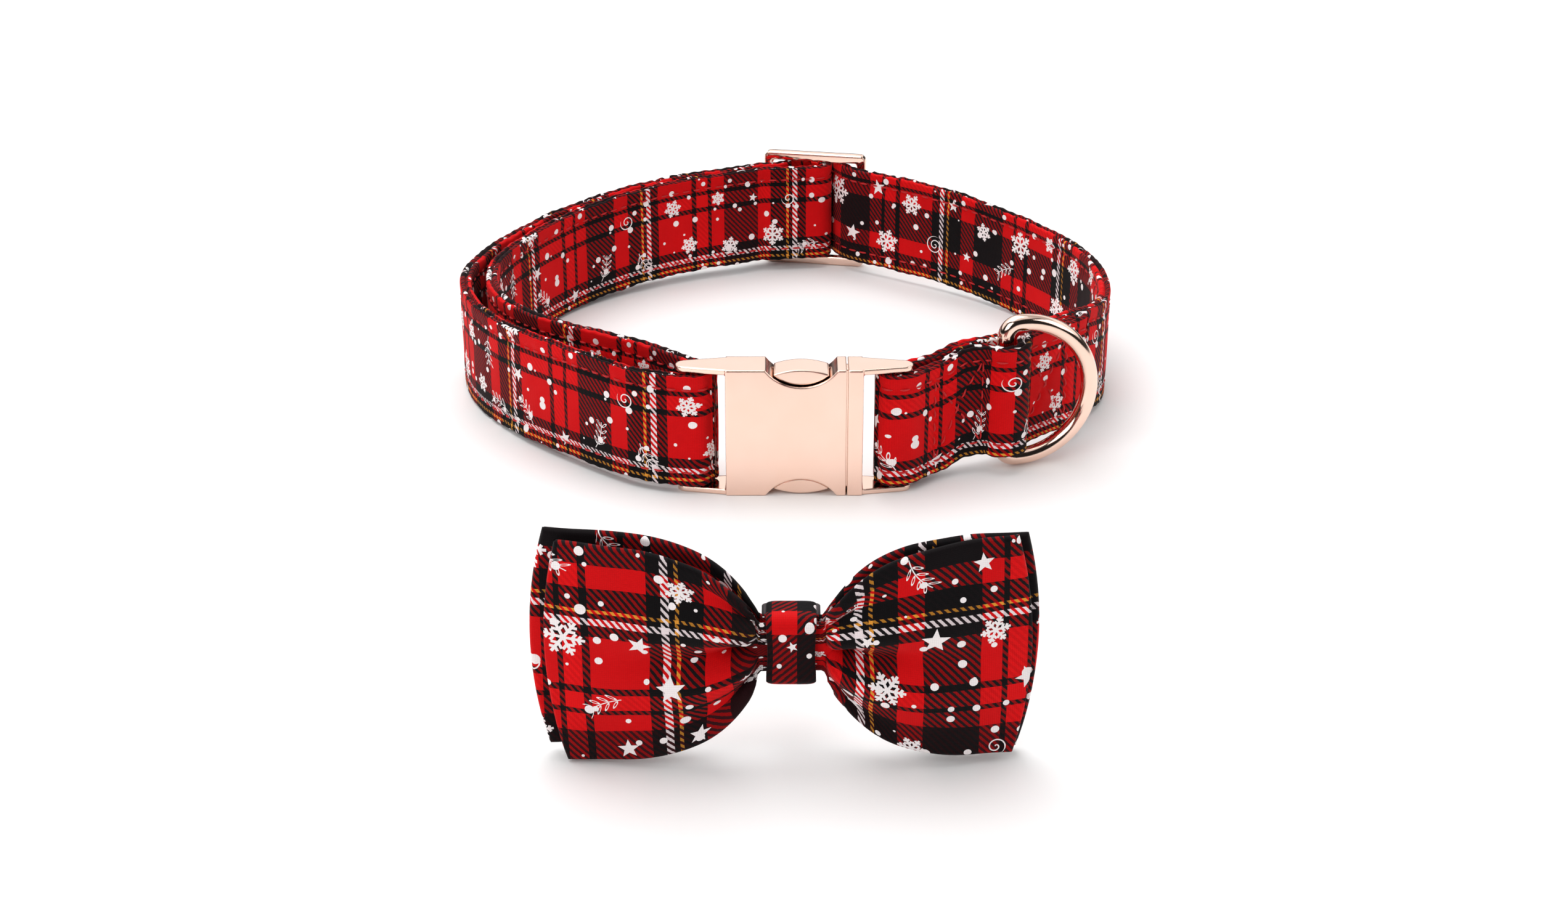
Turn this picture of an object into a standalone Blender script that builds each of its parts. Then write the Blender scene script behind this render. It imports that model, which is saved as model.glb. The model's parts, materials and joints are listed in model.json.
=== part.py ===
"""Pet bow tie collar: a cloth-covered strap closed into a loop by a metal side-release buckle,
with a lead ring in a sewn tunnel, a three-bar slider, and its slip-on bow standing in front.

Metres, +Z up. +X runs along the buckle to the right, +Y from the buckle to the slider.
The origin is on the floor, under the middle of everything that is built.
"""

import math

import bmesh
import bpy
import numpy as np
from mathutils import Matrix, Vector

MM = 0.001

# Clearances
CLOTH_GAP = 0.35 * MM
TURN_EASE = 0.20 * MM
METAL_GAP = 0.30 * MM
FLOOR_GAP = 0.20 * MM

# Strap: one length of covered webbing, sewn at both ends
STRAP_WIDTH = 25.4 * MM
STRAP_THICKNESS = 2.8 * MM
STRAP_EDGE_ROUND = 0.55 * MM
LOOP_HALF_WIDTH = 74.0 * MM
LOOP_HALF_DEPTH = 70.0 * MM
STATION_SPACING = 4.2 * MM
TIGHT_SPACING = 0.9 * MM
HOLDER_REACH = 9.0 * MM
HOLDER_SOFTNESS = 1.0 * MM

# Side-release buckle: its arms hold the strap's edges with a clearance
BUCKLE_CLEARANCE = 0.40 * MM
BUCKLE_DEPTH = 8.0 * MM
FEMALE_PLATE_LENGTH = 25.2 * MM
MALE_PLATE_LENGTH = 3.2 * MM
ARM_LENGTH = 10.4 * MM
ARM_TIP_DEPTH = 4.0 * MM
ARM_HEIGHT = 1.2 * MM
BAR_RADIUS = 1.4 * MM
BAR_SETBACK = 6.2 * MM
SCALLOP_LENGTH = 15.0 * MM
SCALLOP_DEPTH = 3.8 * MM
SCALLOP_OFFSET = 3.2 * MM
BUTTON_LENGTH = 11.4 * MM
BUTTON_DEPTH = 6.4 * MM
BUTTON_CROWN = 1.0 * MM
BUCKLE_EDGE_ROUND = 0.45 * MM

# Lead ring: a round wire bent to a D, whose straight side is its hinge pin
RING_WIRE = 3.6 * MM
RING_INNER_HEIGHT = 27.6 * MM
RING_STRAIGHT = 3.6 * MM
RING_CORNER = 3.0 * MM
RING_FROM_BUCKLE = 24.0 * MM
RING_DIRECTION_DEG = 12.0

# Sewn strap end
SEWN_END_LENGTH = 49.0 * MM
TUNNEL_HALF_WIDTH = 7.6 * MM

# Slider
SLIDER_LENGTH = 27.0 * MM
SLIDER_RAIL = 2.4 * MM
SLIDER_WIRE = 2.4 * MM
SLIDER_ACROSS_SHARE = 0.111
SLIDER_ALONG_SHARE = 0.977
SLIDER_TILT_DEG = -10.5
SLIDER_TAIL = 1.0 * MM

# Bow
BOW_X = 1.2 * MM
BOW_Y = -173.0 * MM
BOW_LEFT_WIDTH = 41.2 * MM
BOW_RIGHT_WIDTH = 40.2 * MM
BOW_BACK_LEFT_WIDTH = 44.2 * MM
BOW_BACK_RIGHT_WIDTH = 41.9 * MM
BOW_CORNER_INSET = 2.8 * MM
BOW_HALF_HEIGHT = 21.5 * MM
BOW_BACK_HALF_HEIGHT = 21.1 * MM
BOW_TILT_DEG = 0.9
BOW_BACK_TILT_DEG = -0.6
BOW_PINCH_HALF_HEIGHT = 4.5 * MM
BOW_FLARE = 7.8 * MM
BOW_PUFF = 5.0 * MM
BOW_BACK_PUFF = 0.8 * MM
BOW_CREASE = 2.0 * MM
BOW_CLOTH = 2.0 * MM
BOW_LAYER_PITCH = 2.8 * MM
KNOT_WIDTH = 8.4 * MM
KNOT_WALL = 1.2 * MM
KNOT_HALF_HEIGHT = 6.5 * MM
KNOT_EASE = 2.2 * MM
KNOT_GAP = 0.60 * MM
KNOT_CORNER = 1.5 * MM
KEEPER_WIDTH = 10.0 * MM
KEEPER_WALL = 1.2 * MM
KEEPER_HALF_HEIGHT = 5.0 * MM
KEEPER_REACH = 6.0 * MM
KEEPER_CORNER = 2.4 * MM
KEEPER_DROP = 2.6 * MM

# The strap's middle line, as shares of the loop's half width (across) and half depth (along).
# The left run goes from the buckle to the slider, the right run from the slider to the buckle.
LEFT_RUN = (
    # across, along
    (-0.400, -0.975),
    (-0.600, -0.815),
    (-0.800, -0.600),
    (-0.945, -0.355),
    (-1.000, -0.115),
    (-0.970, 0.095),
    (-0.890, 0.300),
    (-0.755, 0.525),
    (-0.570, 0.700),
    (-0.350, 0.840),
    (-0.175, 0.915),
)
RIGHT_RUN = (
    # across, along
    (0.352, 0.830),
    (0.470, 0.745),
    (0.595, 0.650),
    (0.765, 0.480),
    (0.890, 0.300),
    (0.970, 0.105),
    (1.000, -0.115),
    (0.978, -0.320),
    (0.900, -0.500),
    (0.775, -0.655),
    (0.610, -0.790),
    (0.440, -0.870),
)
# Where the strap passes through the slider: under its left rail, over its middle bar, under its right rail.
SLIDER_WAY_IN = (
    # across as a share of the rail's offset, along as a share of the crest
    (-0.42, 0.53),
    (-0.21, 0.94),
)
SLIDER_WAY_OUT = (
    # across and along as shares of the crest
    (0.62, 0.80),
    (1.02, 0.22),
)
RAIL_LEFT = (0.73, 0.55)
RAIL_RIGHT = 0.84
RAIL_INNER = 0.90
# How the sewn end closes on the strap beyond the buckle's bar.
SEWN_CLOSING = (
    # share of the tunnel's half width, share of the gap that the buckle's bar leaves
    (0.15, 0.98),
    (0.45, 0.60),
    (1.00, 0.12),
    (1.60, 0.00),
)
# The inner leg stands off the left run: share of that run's length, and gap between the cloths.
ADJUSTING_GAPS = (
    # along, gap
    (0.115, 9.6 * MM),
    (0.185, 7.6 * MM),
    (0.270, 5.4 * MM),
    (0.370, 3.6 * MM),
    (0.470, 2.2 * MM),
    (0.570, 1.1 * MM),
    (0.670, 0.6 * MM),
    (0.770, 0.5 * MM),
    (0.850, 0.5 * MM),
    (0.890, 0.6 * MM),
    (0.920, 0.7 * MM),
)
# Where the loop touches the floor by itself, as shares of its half sizes.
FLOOR_POINTS = ((-1.0, -0.05), (1.0, -0.02))

CLOTH_RED = (0.62, 0.02, 0.03, 1.0)
CLOTH_DARK = (0.30, 0.01, 0.02, 1.0)
ROSE_GOLD = (0.90, 0.62, 0.48, 1.0)
ELASTIC_BLACK = (0.03, 0.03, 0.035, 1.0)


def clear_scene():
    for obj in list(bpy.data.objects):
        bpy.data.objects.remove(obj)


def collection(name):
    made = bpy.data.collections.new(name)
    bpy.context.scene.collection.children.link(made)
    return made


def material(name, colour, roughness, metallic=0.0):
    made = bpy.data.materials.new(name)
    made.use_nodes = True
    shader = made.node_tree.nodes["Principled BSDF"]
    shader.inputs["Base Color"].default_value = colour
    shader.inputs["Roughness"].default_value = roughness
    shader.inputs["Metallic"].default_value = metallic
    return made


def place(obj, home, parent=None, finish=None):
    home.objects.link(obj)
    obj.parent = parent
    if finish is not None:
        obj.data.materials.append(finish)
    return obj


def empty(name, home, location, parent=None, turn_z=0.0):
    made = bpy.data.objects.new(name, None)
    made.location = location
    made.rotation_euler.z = turn_z
    return place(made, home, parent)


def helper(obj):
    """A cutter or a guide: drawn as wire and left out of renders."""
    obj.display_type = "WIRE"
    obj.hide_render = True
    return obj


# Lines in plan


def catmull_rom(points, steps=12):
    """A smooth line through the points, evenly eased whatever their spacing."""
    points = np.asarray(points, float)
    first = 2 * points[0] - points[1]
    last = 2 * points[-1] - points[-2]
    ends = np.vstack([first, points, last])
    line = []
    for a, b, c, d in zip(ends[:-3], ends[1:-2], ends[2:-1], ends[3:]):
        knots = np.cumsum([0.0] + [math.sqrt(np.linalg.norm(q - p)) for p, q in ((a, b), (b, c), (c, d))])
        t = np.linspace(knots[1], knots[2], steps, endpoint=False)[:, None]
        ab = (a * (knots[1] - t) + b * (t - knots[0])) / (knots[1] - knots[0])
        bc = (b * (knots[2] - t) + c * (t - knots[1])) / (knots[2] - knots[1])
        cd = (c * (knots[3] - t) + d * (t - knots[2])) / (knots[3] - knots[2])
        abc = (ab * (knots[2] - t) + bc * (t - knots[0])) / (knots[2] - knots[0])
        bcd = (bc * (knots[3] - t) + cd * (t - knots[1])) / (knots[3] - knots[1])
        line.append((abc * (knots[2] - t) + bcd * (t - knots[1])) / (knots[2] - knots[1]))
    line.append(points[-1:])
    return np.vstack(line)


def lengths_along(line):
    steps = np.linalg.norm(np.diff(line, axis=0), axis=1)
    return np.concatenate([[0.0], np.cumsum(steps)])


def point_at(line, distance):
    """The point, the unit direction and the unit normal to the right of travel, at a distance along."""
    along = lengths_along(line)
    at = np.clip(distance, 0.0, along[-1])
    point = np.array([np.interp(at, along, line[:, 0]), np.interp(at, along, line[:, 1])])
    low, high = max(at - TIGHT_SPACING / 2, 0.0), min(at + TIGHT_SPACING / 2, along[-1])
    ahead = np.array([np.interp(high, along, line[:, i]) - np.interp(low, along, line[:, i]) for i in (0, 1)])
    direction = ahead / np.linalg.norm(ahead)
    return point, direction, np.array([direction[1], -direction[0]])


def turn(centre, radius, start_deg, end_deg, steps):
    """Points on an arc about the centre."""
    angles = np.radians(np.linspace(start_deg, end_deg, steps))
    return [(centre[0] + radius * math.cos(a), centre[1] + radius * math.sin(a)) for a in angles]


def from_shares(rows):
    return [(across * LOOP_HALF_WIDTH, along * LOOP_HALF_DEPTH) for across, along in rows]


def evenly(line, spacing, tight_spacing):
    """The line's points thinned: closer together where it bends more."""
    along = lengths_along(line)
    heading = np.unwrap(np.arctan2(*np.gradient(line, axis=0).T[::-1]))
    bend = np.abs(np.gradient(heading)) / np.maximum(np.gradient(along), 1e-9)
    density = 1.0 / spacing + np.minimum(bend / math.radians(24.0), 1.0 / tight_spacing)
    count = np.concatenate([[0.0], np.cumsum((density[1:] + density[:-1]) / 2 * np.diff(along))])
    wanted = np.linspace(0.0, count[-1], max(int(round(count[-1])), 2) + 1)
    at = np.interp(wanted, count, along)
    return np.column_stack([np.interp(at, along, line[:, 0]), np.interp(at, along, line[:, 1])])


# Places that several pieces share

STRAP_TURN = BAR_RADIUS + CLOTH_GAP + STRAP_THICKNESS / 2
BUCKLE_HEIGHT = STRAP_WIDTH + 2 * BUCKLE_CLEARANCE + 2 * ARM_HEIGHT
PLATE_MIDDLE_X = 0.4 * MM
FEMALE_LEFT = PLATE_MIDDLE_X - FEMALE_PLATE_LENGTH / 2
MALE_LEFT = PLATE_MIDDLE_X + FEMALE_PLATE_LENGTH / 2 + METAL_GAP
MALE_RIGHT = MALE_LEFT + MALE_PLATE_LENGTH
BUCKLE_Y = -LOOP_HALF_DEPTH + BUCKLE_DEPTH / 8
BAR_Y = BUCKLE_Y + BUCKLE_DEPTH / 8
FEMALE_BAR = (FEMALE_LEFT - BAR_SETBACK, BAR_Y)
MALE_BAR = (MALE_RIGHT + BAR_SETBACK, BAR_Y)
RING_HEIGHT = RING_INNER_HEIGHT + 2 * RING_WIRE
RING_MIDDLE_Z = RING_HEIGHT / 2 + FLOOR_GAP
SLIDER_X = SLIDER_ACROSS_SHARE * LOOP_HALF_WIDTH
SLIDER_Y = SLIDER_ALONG_SHARE * LOOP_HALF_DEPTH
SLIDER_HEIGHT = STRAP_WIDTH + 2 * METAL_GAP + 2 * SLIDER_RAIL
SLIDER_TURN = SLIDER_WIRE / 2 + CLOTH_GAP + TURN_EASE + STRAP_THICKNESS / 2
RAIL_OFFSET = SLIDER_LENGTH / 2 - SLIDER_RAIL / 2
RAIL_PASS = SLIDER_WIRE / 2 + CLOTH_GAP + STRAP_THICKNESS / 2
SLIDER_CREST = SLIDER_TURN + STRAP_THICKNESS + CLOTH_GAP
SPLIT_DEG = 7.0


def slider_point(across, along=0.0):
    """A point of the slider's own plan, placed and turned with it."""
    angle = math.radians(SLIDER_TILT_DEG)
    x = across * math.cos(angle) - along * math.sin(angle)
    y = across * math.sin(angle) + along * math.cos(angle)
    return (SLIDER_X + x, SLIDER_Y + y)


def left_run_line():
    """From the turn's tip round the socket's bar, left and back, to the crest over the slider's bar."""
    points = turn(FEMALE_BAR, STRAP_TURN, -SPLIT_DEG, -90.0, 5)
    points += from_shares(LEFT_RUN)
    points += [slider_point(-RAIL_OFFSET - SLIDER_RAIL / 2, -RAIL_PASS - CLOTH_GAP / 2)]
    points += [slider_point(-RAIL_OFFSET + SLIDER_RAIL / 4, -RAIL_PASS)]
    points += [slider_point(-RAIL_OFFSET * RAIL_LEFT[0], -RAIL_PASS * RAIL_LEFT[1])]
    points += [slider_point(across * RAIL_OFFSET, along * SLIDER_CREST) for across, along in SLIDER_WAY_IN]
    points += [slider_point(-CLOTH_GAP, SLIDER_CREST)]
    return catmull_rom(points)


def right_run_line():
    """From the crest over the slider's bar, round the right, to the turn's tip round the tongue's bar."""
    points = [slider_point(CLOTH_GAP, SLIDER_CREST)]
    points += [slider_point(across * SLIDER_CREST, along * SLIDER_CREST) for across, along in SLIDER_WAY_OUT]
    points += [slider_point(RAIL_OFFSET * RAIL_RIGHT, -RAIL_PASS)]
    points += from_shares(RIGHT_RUN)
    points += turn(MALE_BAR, STRAP_TURN, 90.0, 180.0 - SPLIT_DEG, 5)
    return catmull_rom(points)


def adjusting_line():
    """The short sewn tail, the fold round the slider's bar, and the inner leg to the buckle's socket."""
    outer = left_run_line()
    total = lengths_along(outer)[-1]
    fold_start = 90.0 + SLIDER_TILT_DEG
    points = [slider_point(-SLIDER_TAIL, SLIDER_TURN)]
    points += turn(slider_point(0.0), SLIDER_TURN, fold_start, fold_start - 180.0, 7)
    under_rail = RAIL_PASS + STRAP_THICKNESS + 2 * CLOTH_GAP + TURN_EASE
    points += [slider_point(-RAIL_OFFSET * RAIL_INNER, -under_rail)]
    for share, gap in reversed(ADJUSTING_GAPS):
        point, _, right = point_at(outer, share * total)
        points.append(tuple(point + right * (STRAP_THICKNESS + gap)))
    points += turn(FEMALE_BAR, STRAP_TURN, 52.0, SPLIT_DEG, 4)
    return catmull_rom(points)


def ring_place():
    """The plan point of the ring's pin, and the strap's direction there away from the buckle."""
    line = right_run_line()[::-1]
    turn_length = math.pi / 2 * STRAP_TURN
    point, direction, right = point_at(line, turn_length + RING_FROM_BUCKLE)
    off = STRAP_THICKNESS / 2 + CLOTH_GAP + RING_WIRE / 2
    return point + right * off, direction


def sewn_end_line():
    """The strap's end, back from the tongue's bar along the outside, arched over the ring's pin."""
    line = right_run_line()[::-1]
    turn_length = math.pi / 2 * STRAP_TURN
    base = STRAP_THICKNESS + CLOTH_GAP
    pin_off = STRAP_THICKNESS / 2 + CLOTH_GAP + RING_WIRE / 2
    arch = RING_WIRE / 2 + CLOTH_GAP + STRAP_THICKNESS / 2 + 3 * TURN_EASE
    rising = 1.3 * base
    before, after = RING_FROM_BUCKLE - TUNNEL_HALF_WIDTH, RING_FROM_BUCKLE + TUNNEL_HALF_WIDTH
    stops = [(a * TUNNEL_HALF_WIDTH, base + b * (2 * STRAP_TURN - base)) for a, b in SEWN_CLOSING]
    stops += [(before, base), (before + TUNNEL_HALF_WIDTH / 2, rising)]
    stops += turn((RING_FROM_BUCKLE, pin_off), arch, 138.0, 42.0, 5)
    stops += [(after - TUNNEL_HALF_WIDTH / 2, rising), (after, base)]
    stops += [(SEWN_END_LENGTH * share, base) for share in (0.86, 1.0)]
    points = turn(MALE_BAR, STRAP_TURN, 180.0 + SPLIT_DEG, 262.0, 5)
    for distance, off in stops:
        point, _, right = point_at(line, turn_length + distance)
        points.append(tuple(point + right * off))
    return catmull_rom(points)


def middle_heights(line):
    """The height of the strap's middle: the hardware lifts it, and the nearest holder counts most."""
    ring, _ = ring_place()
    ring_lift = RING_MIDDLE_Z - (RING_INNER_HEIGHT - STRAP_WIDTH) / 2 + CLOTH_GAP
    holders = [(FEMALE_BAR, BUCKLE_HEIGHT / 2), (MALE_BAR, BUCKLE_HEIGHT / 2), (ring, ring_lift)]
    holders += [(slider_point(0.0), SLIDER_HEIGHT / 2)]
    holders += [(point, STRAP_WIDTH / 2) for point in from_shares(FLOOR_POINTS)]
    places = np.array([place for place, _ in holders])
    heights = np.array([height for _, height in holders])
    apart = np.linalg.norm(line[:, None, :] - places[None, :, :], axis=2)
    weight = 1.0 / (np.maximum(apart - HOLDER_REACH, 0.0) + HOLDER_SOFTNESS) ** 3
    return (weight * heights).sum(axis=1) / weight.sum(axis=1)


# Solids


def mesh_object(name, vertices, faces):
    mesh = bpy.data.meshes.new(name)
    mesh.from_pydata([tuple(v) for v in vertices], [], faces)
    mesh.update()
    return bpy.data.objects.new(name, mesh)


def grid_faces(rows, columns, closed=False):
    """Quads between neighbouring rows of points, the last row joined to the first if closed."""
    last = rows if closed else rows - 1
    return [
        (
            r * columns + c,
            (r + 1) % rows * columns + c,
            (r + 1) % rows * columns + c + 1,
            r * columns + c + 1,
        )
        for r in range(last)
        for c in range(columns - 1)
    ]


def solidify(obj, thickness):
    wall = obj.modifiers.new("wall", "SOLIDIFY")
    wall.thickness = thickness
    wall.offset = 0.0
    wall.use_even_offset = True
    return obj


def bevel(obj, width, segments=1, angle_deg=50.0):
    edge = obj.modifiers.new("edges", "BEVEL")
    edge.width = width
    edge.segments = segments
    edge.limit_method = "ANGLE"
    edge.angle_limit = math.radians(angle_deg)
    return obj


def boolean(obj, other, operation):
    cut = obj.modifiers.new(f"{operation.lower()} {other.name}", "BOOLEAN")
    cut.operation = operation
    cut.object = other
    return obj


def smooth(obj, angle_deg=35.0):
    obj.data.shade_smooth()
    obj.data.set_sharp_from_angle(angle=math.radians(angle_deg))
    return obj


def ribbon(name, line, home, parent, finish):
    """A strap run: an upright band along the plan line, given its thickness and rolled edges."""
    line = evenly(line, STATION_SPACING, TIGHT_SPACING)
    middle = middle_heights(line)
    low = np.column_stack([line, middle - STRAP_WIDTH / 2])
    high = np.column_stack([line, middle + STRAP_WIDTH / 2])
    vertices = np.stack([low, high], axis=1).reshape(-1, 3)
    band = mesh_object(name, vertices, grid_faces(len(line), 2))
    place(band, home, parent, finish)
    solidify(band, STRAP_THICKNESS)
    bevel(band, STRAP_EDGE_ROUND)
    return band


def box(name, size, centre):
    shape = bmesh.new()
    bmesh.ops.create_cube(shape, size=1.0, matrix=Matrix.Translation(centre) @ Matrix.Diagonal((*size, 1.0)))
    mesh = bpy.data.meshes.new(name)
    shape.to_mesh(mesh)
    shape.free()
    return bpy.data.objects.new(name, mesh)


def rod(name, radius, length, centre, axis, segments=16):
    """A cylinder about its middle, along a unit axis."""
    aim = Vector((0, 0, 1)).rotation_difference(Vector(axis)).to_matrix().to_4x4()
    shape = bmesh.new()
    bmesh.ops.create_cone(
        shape,
        cap_ends=True,
        segments=segments,
        radius1=radius,
        radius2=radius,
        depth=length,
        matrix=Matrix.Translation(centre) @ aim,
    )
    mesh = bpy.data.meshes.new(name)
    shape.to_mesh(mesh)
    shape.free()
    return bpy.data.objects.new(name, mesh)


def prism(name, outline, thickness, turn_matrix):
    """A flat outline with half its thickness each way, as a welded mesh turned into place."""
    curve = bpy.data.curves.new(name, "CURVE")
    curve.dimensions = "2D"
    curve.fill_mode = "BOTH"
    curve.extrude = thickness / 2
    spline = curve.splines.new("POLY")
    spline.points.add(len(outline) - 1)
    for point, (x, y) in zip(spline.points, outline):
        point.co = (x, y, 0.0, 1.0)
    spline.use_cyclic_u = True
    flat = bpy.data.objects.new(name, curve)
    bpy.context.scene.collection.objects.link(flat)
    graph = bpy.context.evaluated_depsgraph_get()
    mesh = bpy.data.meshes.new_from_object(flat.evaluated_get(graph))
    bpy.data.objects.remove(flat)
    shape = bmesh.new()
    shape.from_mesh(mesh)
    bmesh.ops.remove_doubles(shape, verts=shape.verts, dist=1e-6)
    bmesh.ops.transform(shape, matrix=turn_matrix, verts=shape.verts)
    bmesh.ops.recalc_face_normals(shape, faces=shape.faces)
    shape.to_mesh(mesh)
    shape.free()
    return bpy.data.objects.new(name, mesh)


def arm_outline(root_x, direction):
    """An arm from above: full depth at the plate, narrowing to a rounded tip."""
    tip = ARM_TIP_DEPTH / 2
    straight = ARM_LENGTH - tip
    root = BUCKLE_DEPTH / 2 - BUCKLE_EDGE_ROUND
    tip_arc = [(straight + tip * math.cos(a), tip * math.sin(a)) for a in np.linspace(-1.4, 1.4, 7)]
    outline = [(-1.0 * MM, -root), (0.0, -root)] + tip_arc + [(0.0, root), (-1.0 * MM, root)]
    points = [(root_x + direction * x, BUCKLE_Y + y) for x, y in outline]
    return points if direction > 0 else points[::-1]


def arms_and_bar(obj, forms, root_x, direction, bar):
    """Joins the two arms and the strap bar to a buckle plate."""
    for label, z in (("low", ARM_HEIGHT / 2), ("high", BUCKLE_HEIGHT - ARM_HEIGHT / 2)):
        lift = Matrix.Translation((0.0, 0.0, z))
        arm = prism(f"{obj.name}_{label}_arm", arm_outline(root_x, direction), ARM_HEIGHT, lift)
        boolean(obj, helper(place(arm, forms, obj.parent)), "UNION")
    middle = (bar[0], bar[1], BUCKLE_HEIGHT / 2)
    pin = rod(f"{obj.name}_bar_form", BAR_RADIUS, BUCKLE_HEIGHT - ARM_HEIGHT, middle, (0, 0, 1))
    boolean(obj, helper(place(pin, forms, obj.parent)), "UNION")


def scallop_radius():
    return ((SCALLOP_LENGTH / 2) ** 2 + SCALLOP_DEPTH**2) / (2 * SCALLOP_DEPTH)


def build_female(home, cutters, parent, finish):
    middle = (PLATE_MIDDLE_X, BUCKLE_Y, BUCKLE_HEIGHT / 2)
    body = box("buckle_socket", (FEMALE_PLATE_LENGTH, BUCKLE_DEPTH, BUCKLE_HEIGHT), middle)
    place(body, home, parent, finish)
    radius = scallop_radius()
    for label, side in (("top", 1), ("bottom", -1)):
        z = BUCKLE_HEIGHT / 2 + side * (BUCKLE_HEIGHT / 2 + radius - SCALLOP_DEPTH)
        centre = (PLATE_MIDDLE_X + SCALLOP_OFFSET, BUCKLE_Y, z)
        cutter = rod(f"{label}_scallop_cutter", radius, BUCKLE_DEPTH * 2, centre, (0, 1, 0), 48)
        boolean(body, helper(place(cutter, cutters, parent)), "DIFFERENCE")
    arms_and_bar(body, cutters, FEMALE_LEFT, -1, FEMALE_BAR)
    return smooth(bevel(body, BUCKLE_EDGE_ROUND, 2))


def build_male(home, cutters, parent, finish):
    middle = (MALE_LEFT + MALE_PLATE_LENGTH / 2, BUCKLE_Y, BUCKLE_HEIGHT / 2)
    body = box("buckle_tongue", (MALE_PLATE_LENGTH, BUCKLE_DEPTH, BUCKLE_HEIGHT), middle)
    place(body, home, parent, finish)
    arms_and_bar(body, cutters, MALE_RIGHT, 1, MALE_BAR)
    return smooth(bevel(body, BUCKLE_EDGE_ROUND, 2))


def button_outline():
    """A lens: the lower arc follows the scallop with a gap, the upper one is a low crown."""
    half = BUTTON_LENGTH / 2
    inner = scallop_radius() - METAL_GAP
    base = scallop_radius() - SCALLOP_DEPTH
    x = np.linspace(-half, half, 15)
    lower = base - np.sqrt(inner**2 - x**2)
    ends = lower[0] + 0.25 * MM
    upper = ends + BUTTON_CROWN * (1 - (x / half) ** 2)
    outline = list(zip(x, lower)) + list(zip(x[::-1], upper[::-1]))
    return outline


def build_buttons(home, parent, finish):
    for label, side in (("top", 1), ("bottom", -1)):
        z = BUCKLE_HEIGHT / 2 + side * BUCKLE_HEIGHT / 2
        upright = Matrix.Rotation(math.pi / 2, 4, "X")
        flip = Matrix.Diagonal((1.0, 1.0, side, 1.0))
        move = Matrix.Translation((PLATE_MIDDLE_X + SCALLOP_OFFSET, BUCKLE_Y, z))
        button = prism(f"release_button_{label}", button_outline(), BUTTON_DEPTH, move @ flip @ upright)
        smooth(place(button, home, parent, finish))


def build_ring(home, parent, finish):
    """The D, drawn about its pin: X out from the pin, Z up the pin."""
    place_xy, _ = ring_place()
    hinge = empty(
        "ring_hinge",
        home,
        (place_xy[0], place_xy[1], RING_MIDDLE_Z),
        parent,
        math.radians(RING_DIRECTION_DEG),
    )
    half = RING_INNER_HEIGHT / 2 + RING_WIRE / 2
    corner = turn((RING_CORNER, half - RING_CORNER), RING_CORNER, 180.0, 90.0, 5)
    bow = turn((RING_STRAIGHT, 0.0), half, 90.0, -90.0, 25)
    pin = [(0.0, z) for z in np.linspace(-(half - RING_CORNER), half - RING_CORNER, 5)[1:-1]]
    outline = corner + bow + [(x, -z) for x, z in reversed(corner)] + pin
    curve = bpy.data.curves.new("lead_ring", "CURVE")
    curve.dimensions = "3D"
    curve.bevel_depth = RING_WIRE / 2
    curve.bevel_resolution = 2
    spline = curve.splines.new("POLY")
    spline.points.add(len(outline) - 1)
    for point, (x, z) in zip(spline.points, outline):
        point.co = (x, 0.0, z, 1.0)
    spline.use_cyclic_u = True
    return place(bpy.data.objects.new("lead_ring", curve), home, hinge, finish)


def build_slider(home, cutters, parent, finish):
    """A flat frame with two windows; what is left between them is the middle bar."""
    frame = empty(
        "slider_place", home, (SLIDER_X, SLIDER_Y, SLIDER_HEIGHT / 2), parent, math.radians(SLIDER_TILT_DEG)
    )
    body = box("slider", (SLIDER_LENGTH, SLIDER_WIRE, SLIDER_HEIGHT), (0.0, 0.0, 0.0))
    place(body, home, frame, finish)
    window = (SLIDER_LENGTH - 2 * SLIDER_RAIL - SLIDER_WIRE) / 2
    for label, side in (("left", -1), ("right", 1)):
        size = (window, SLIDER_WIRE * 2, SLIDER_HEIGHT - 2 * SLIDER_RAIL)
        cutter = box(f"slider_{label}_window", size, (side * (SLIDER_WIRE + window) / 2, 0.0, 0.0))
        boolean(body, helper(place(cutter, cutters, frame)), "DIFFERENCE")
    bevel(body, 0.6 * MM, 2)
    return smooth(body)


# Bow


def wing_height(x, half_height):
    """Half the cloth's height at a distance from the knot: narrow in the knot, then flaring and levelling."""
    out = np.maximum(np.abs(x) - KNOT_WIDTH / 2 - KNOT_EASE / 2, 0.0)
    return BOW_PINCH_HALF_HEIGHT + (half_height - BOW_PINCH_HALF_HEIGHT) * (1 - np.exp(-out / BOW_FLARE))


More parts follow.
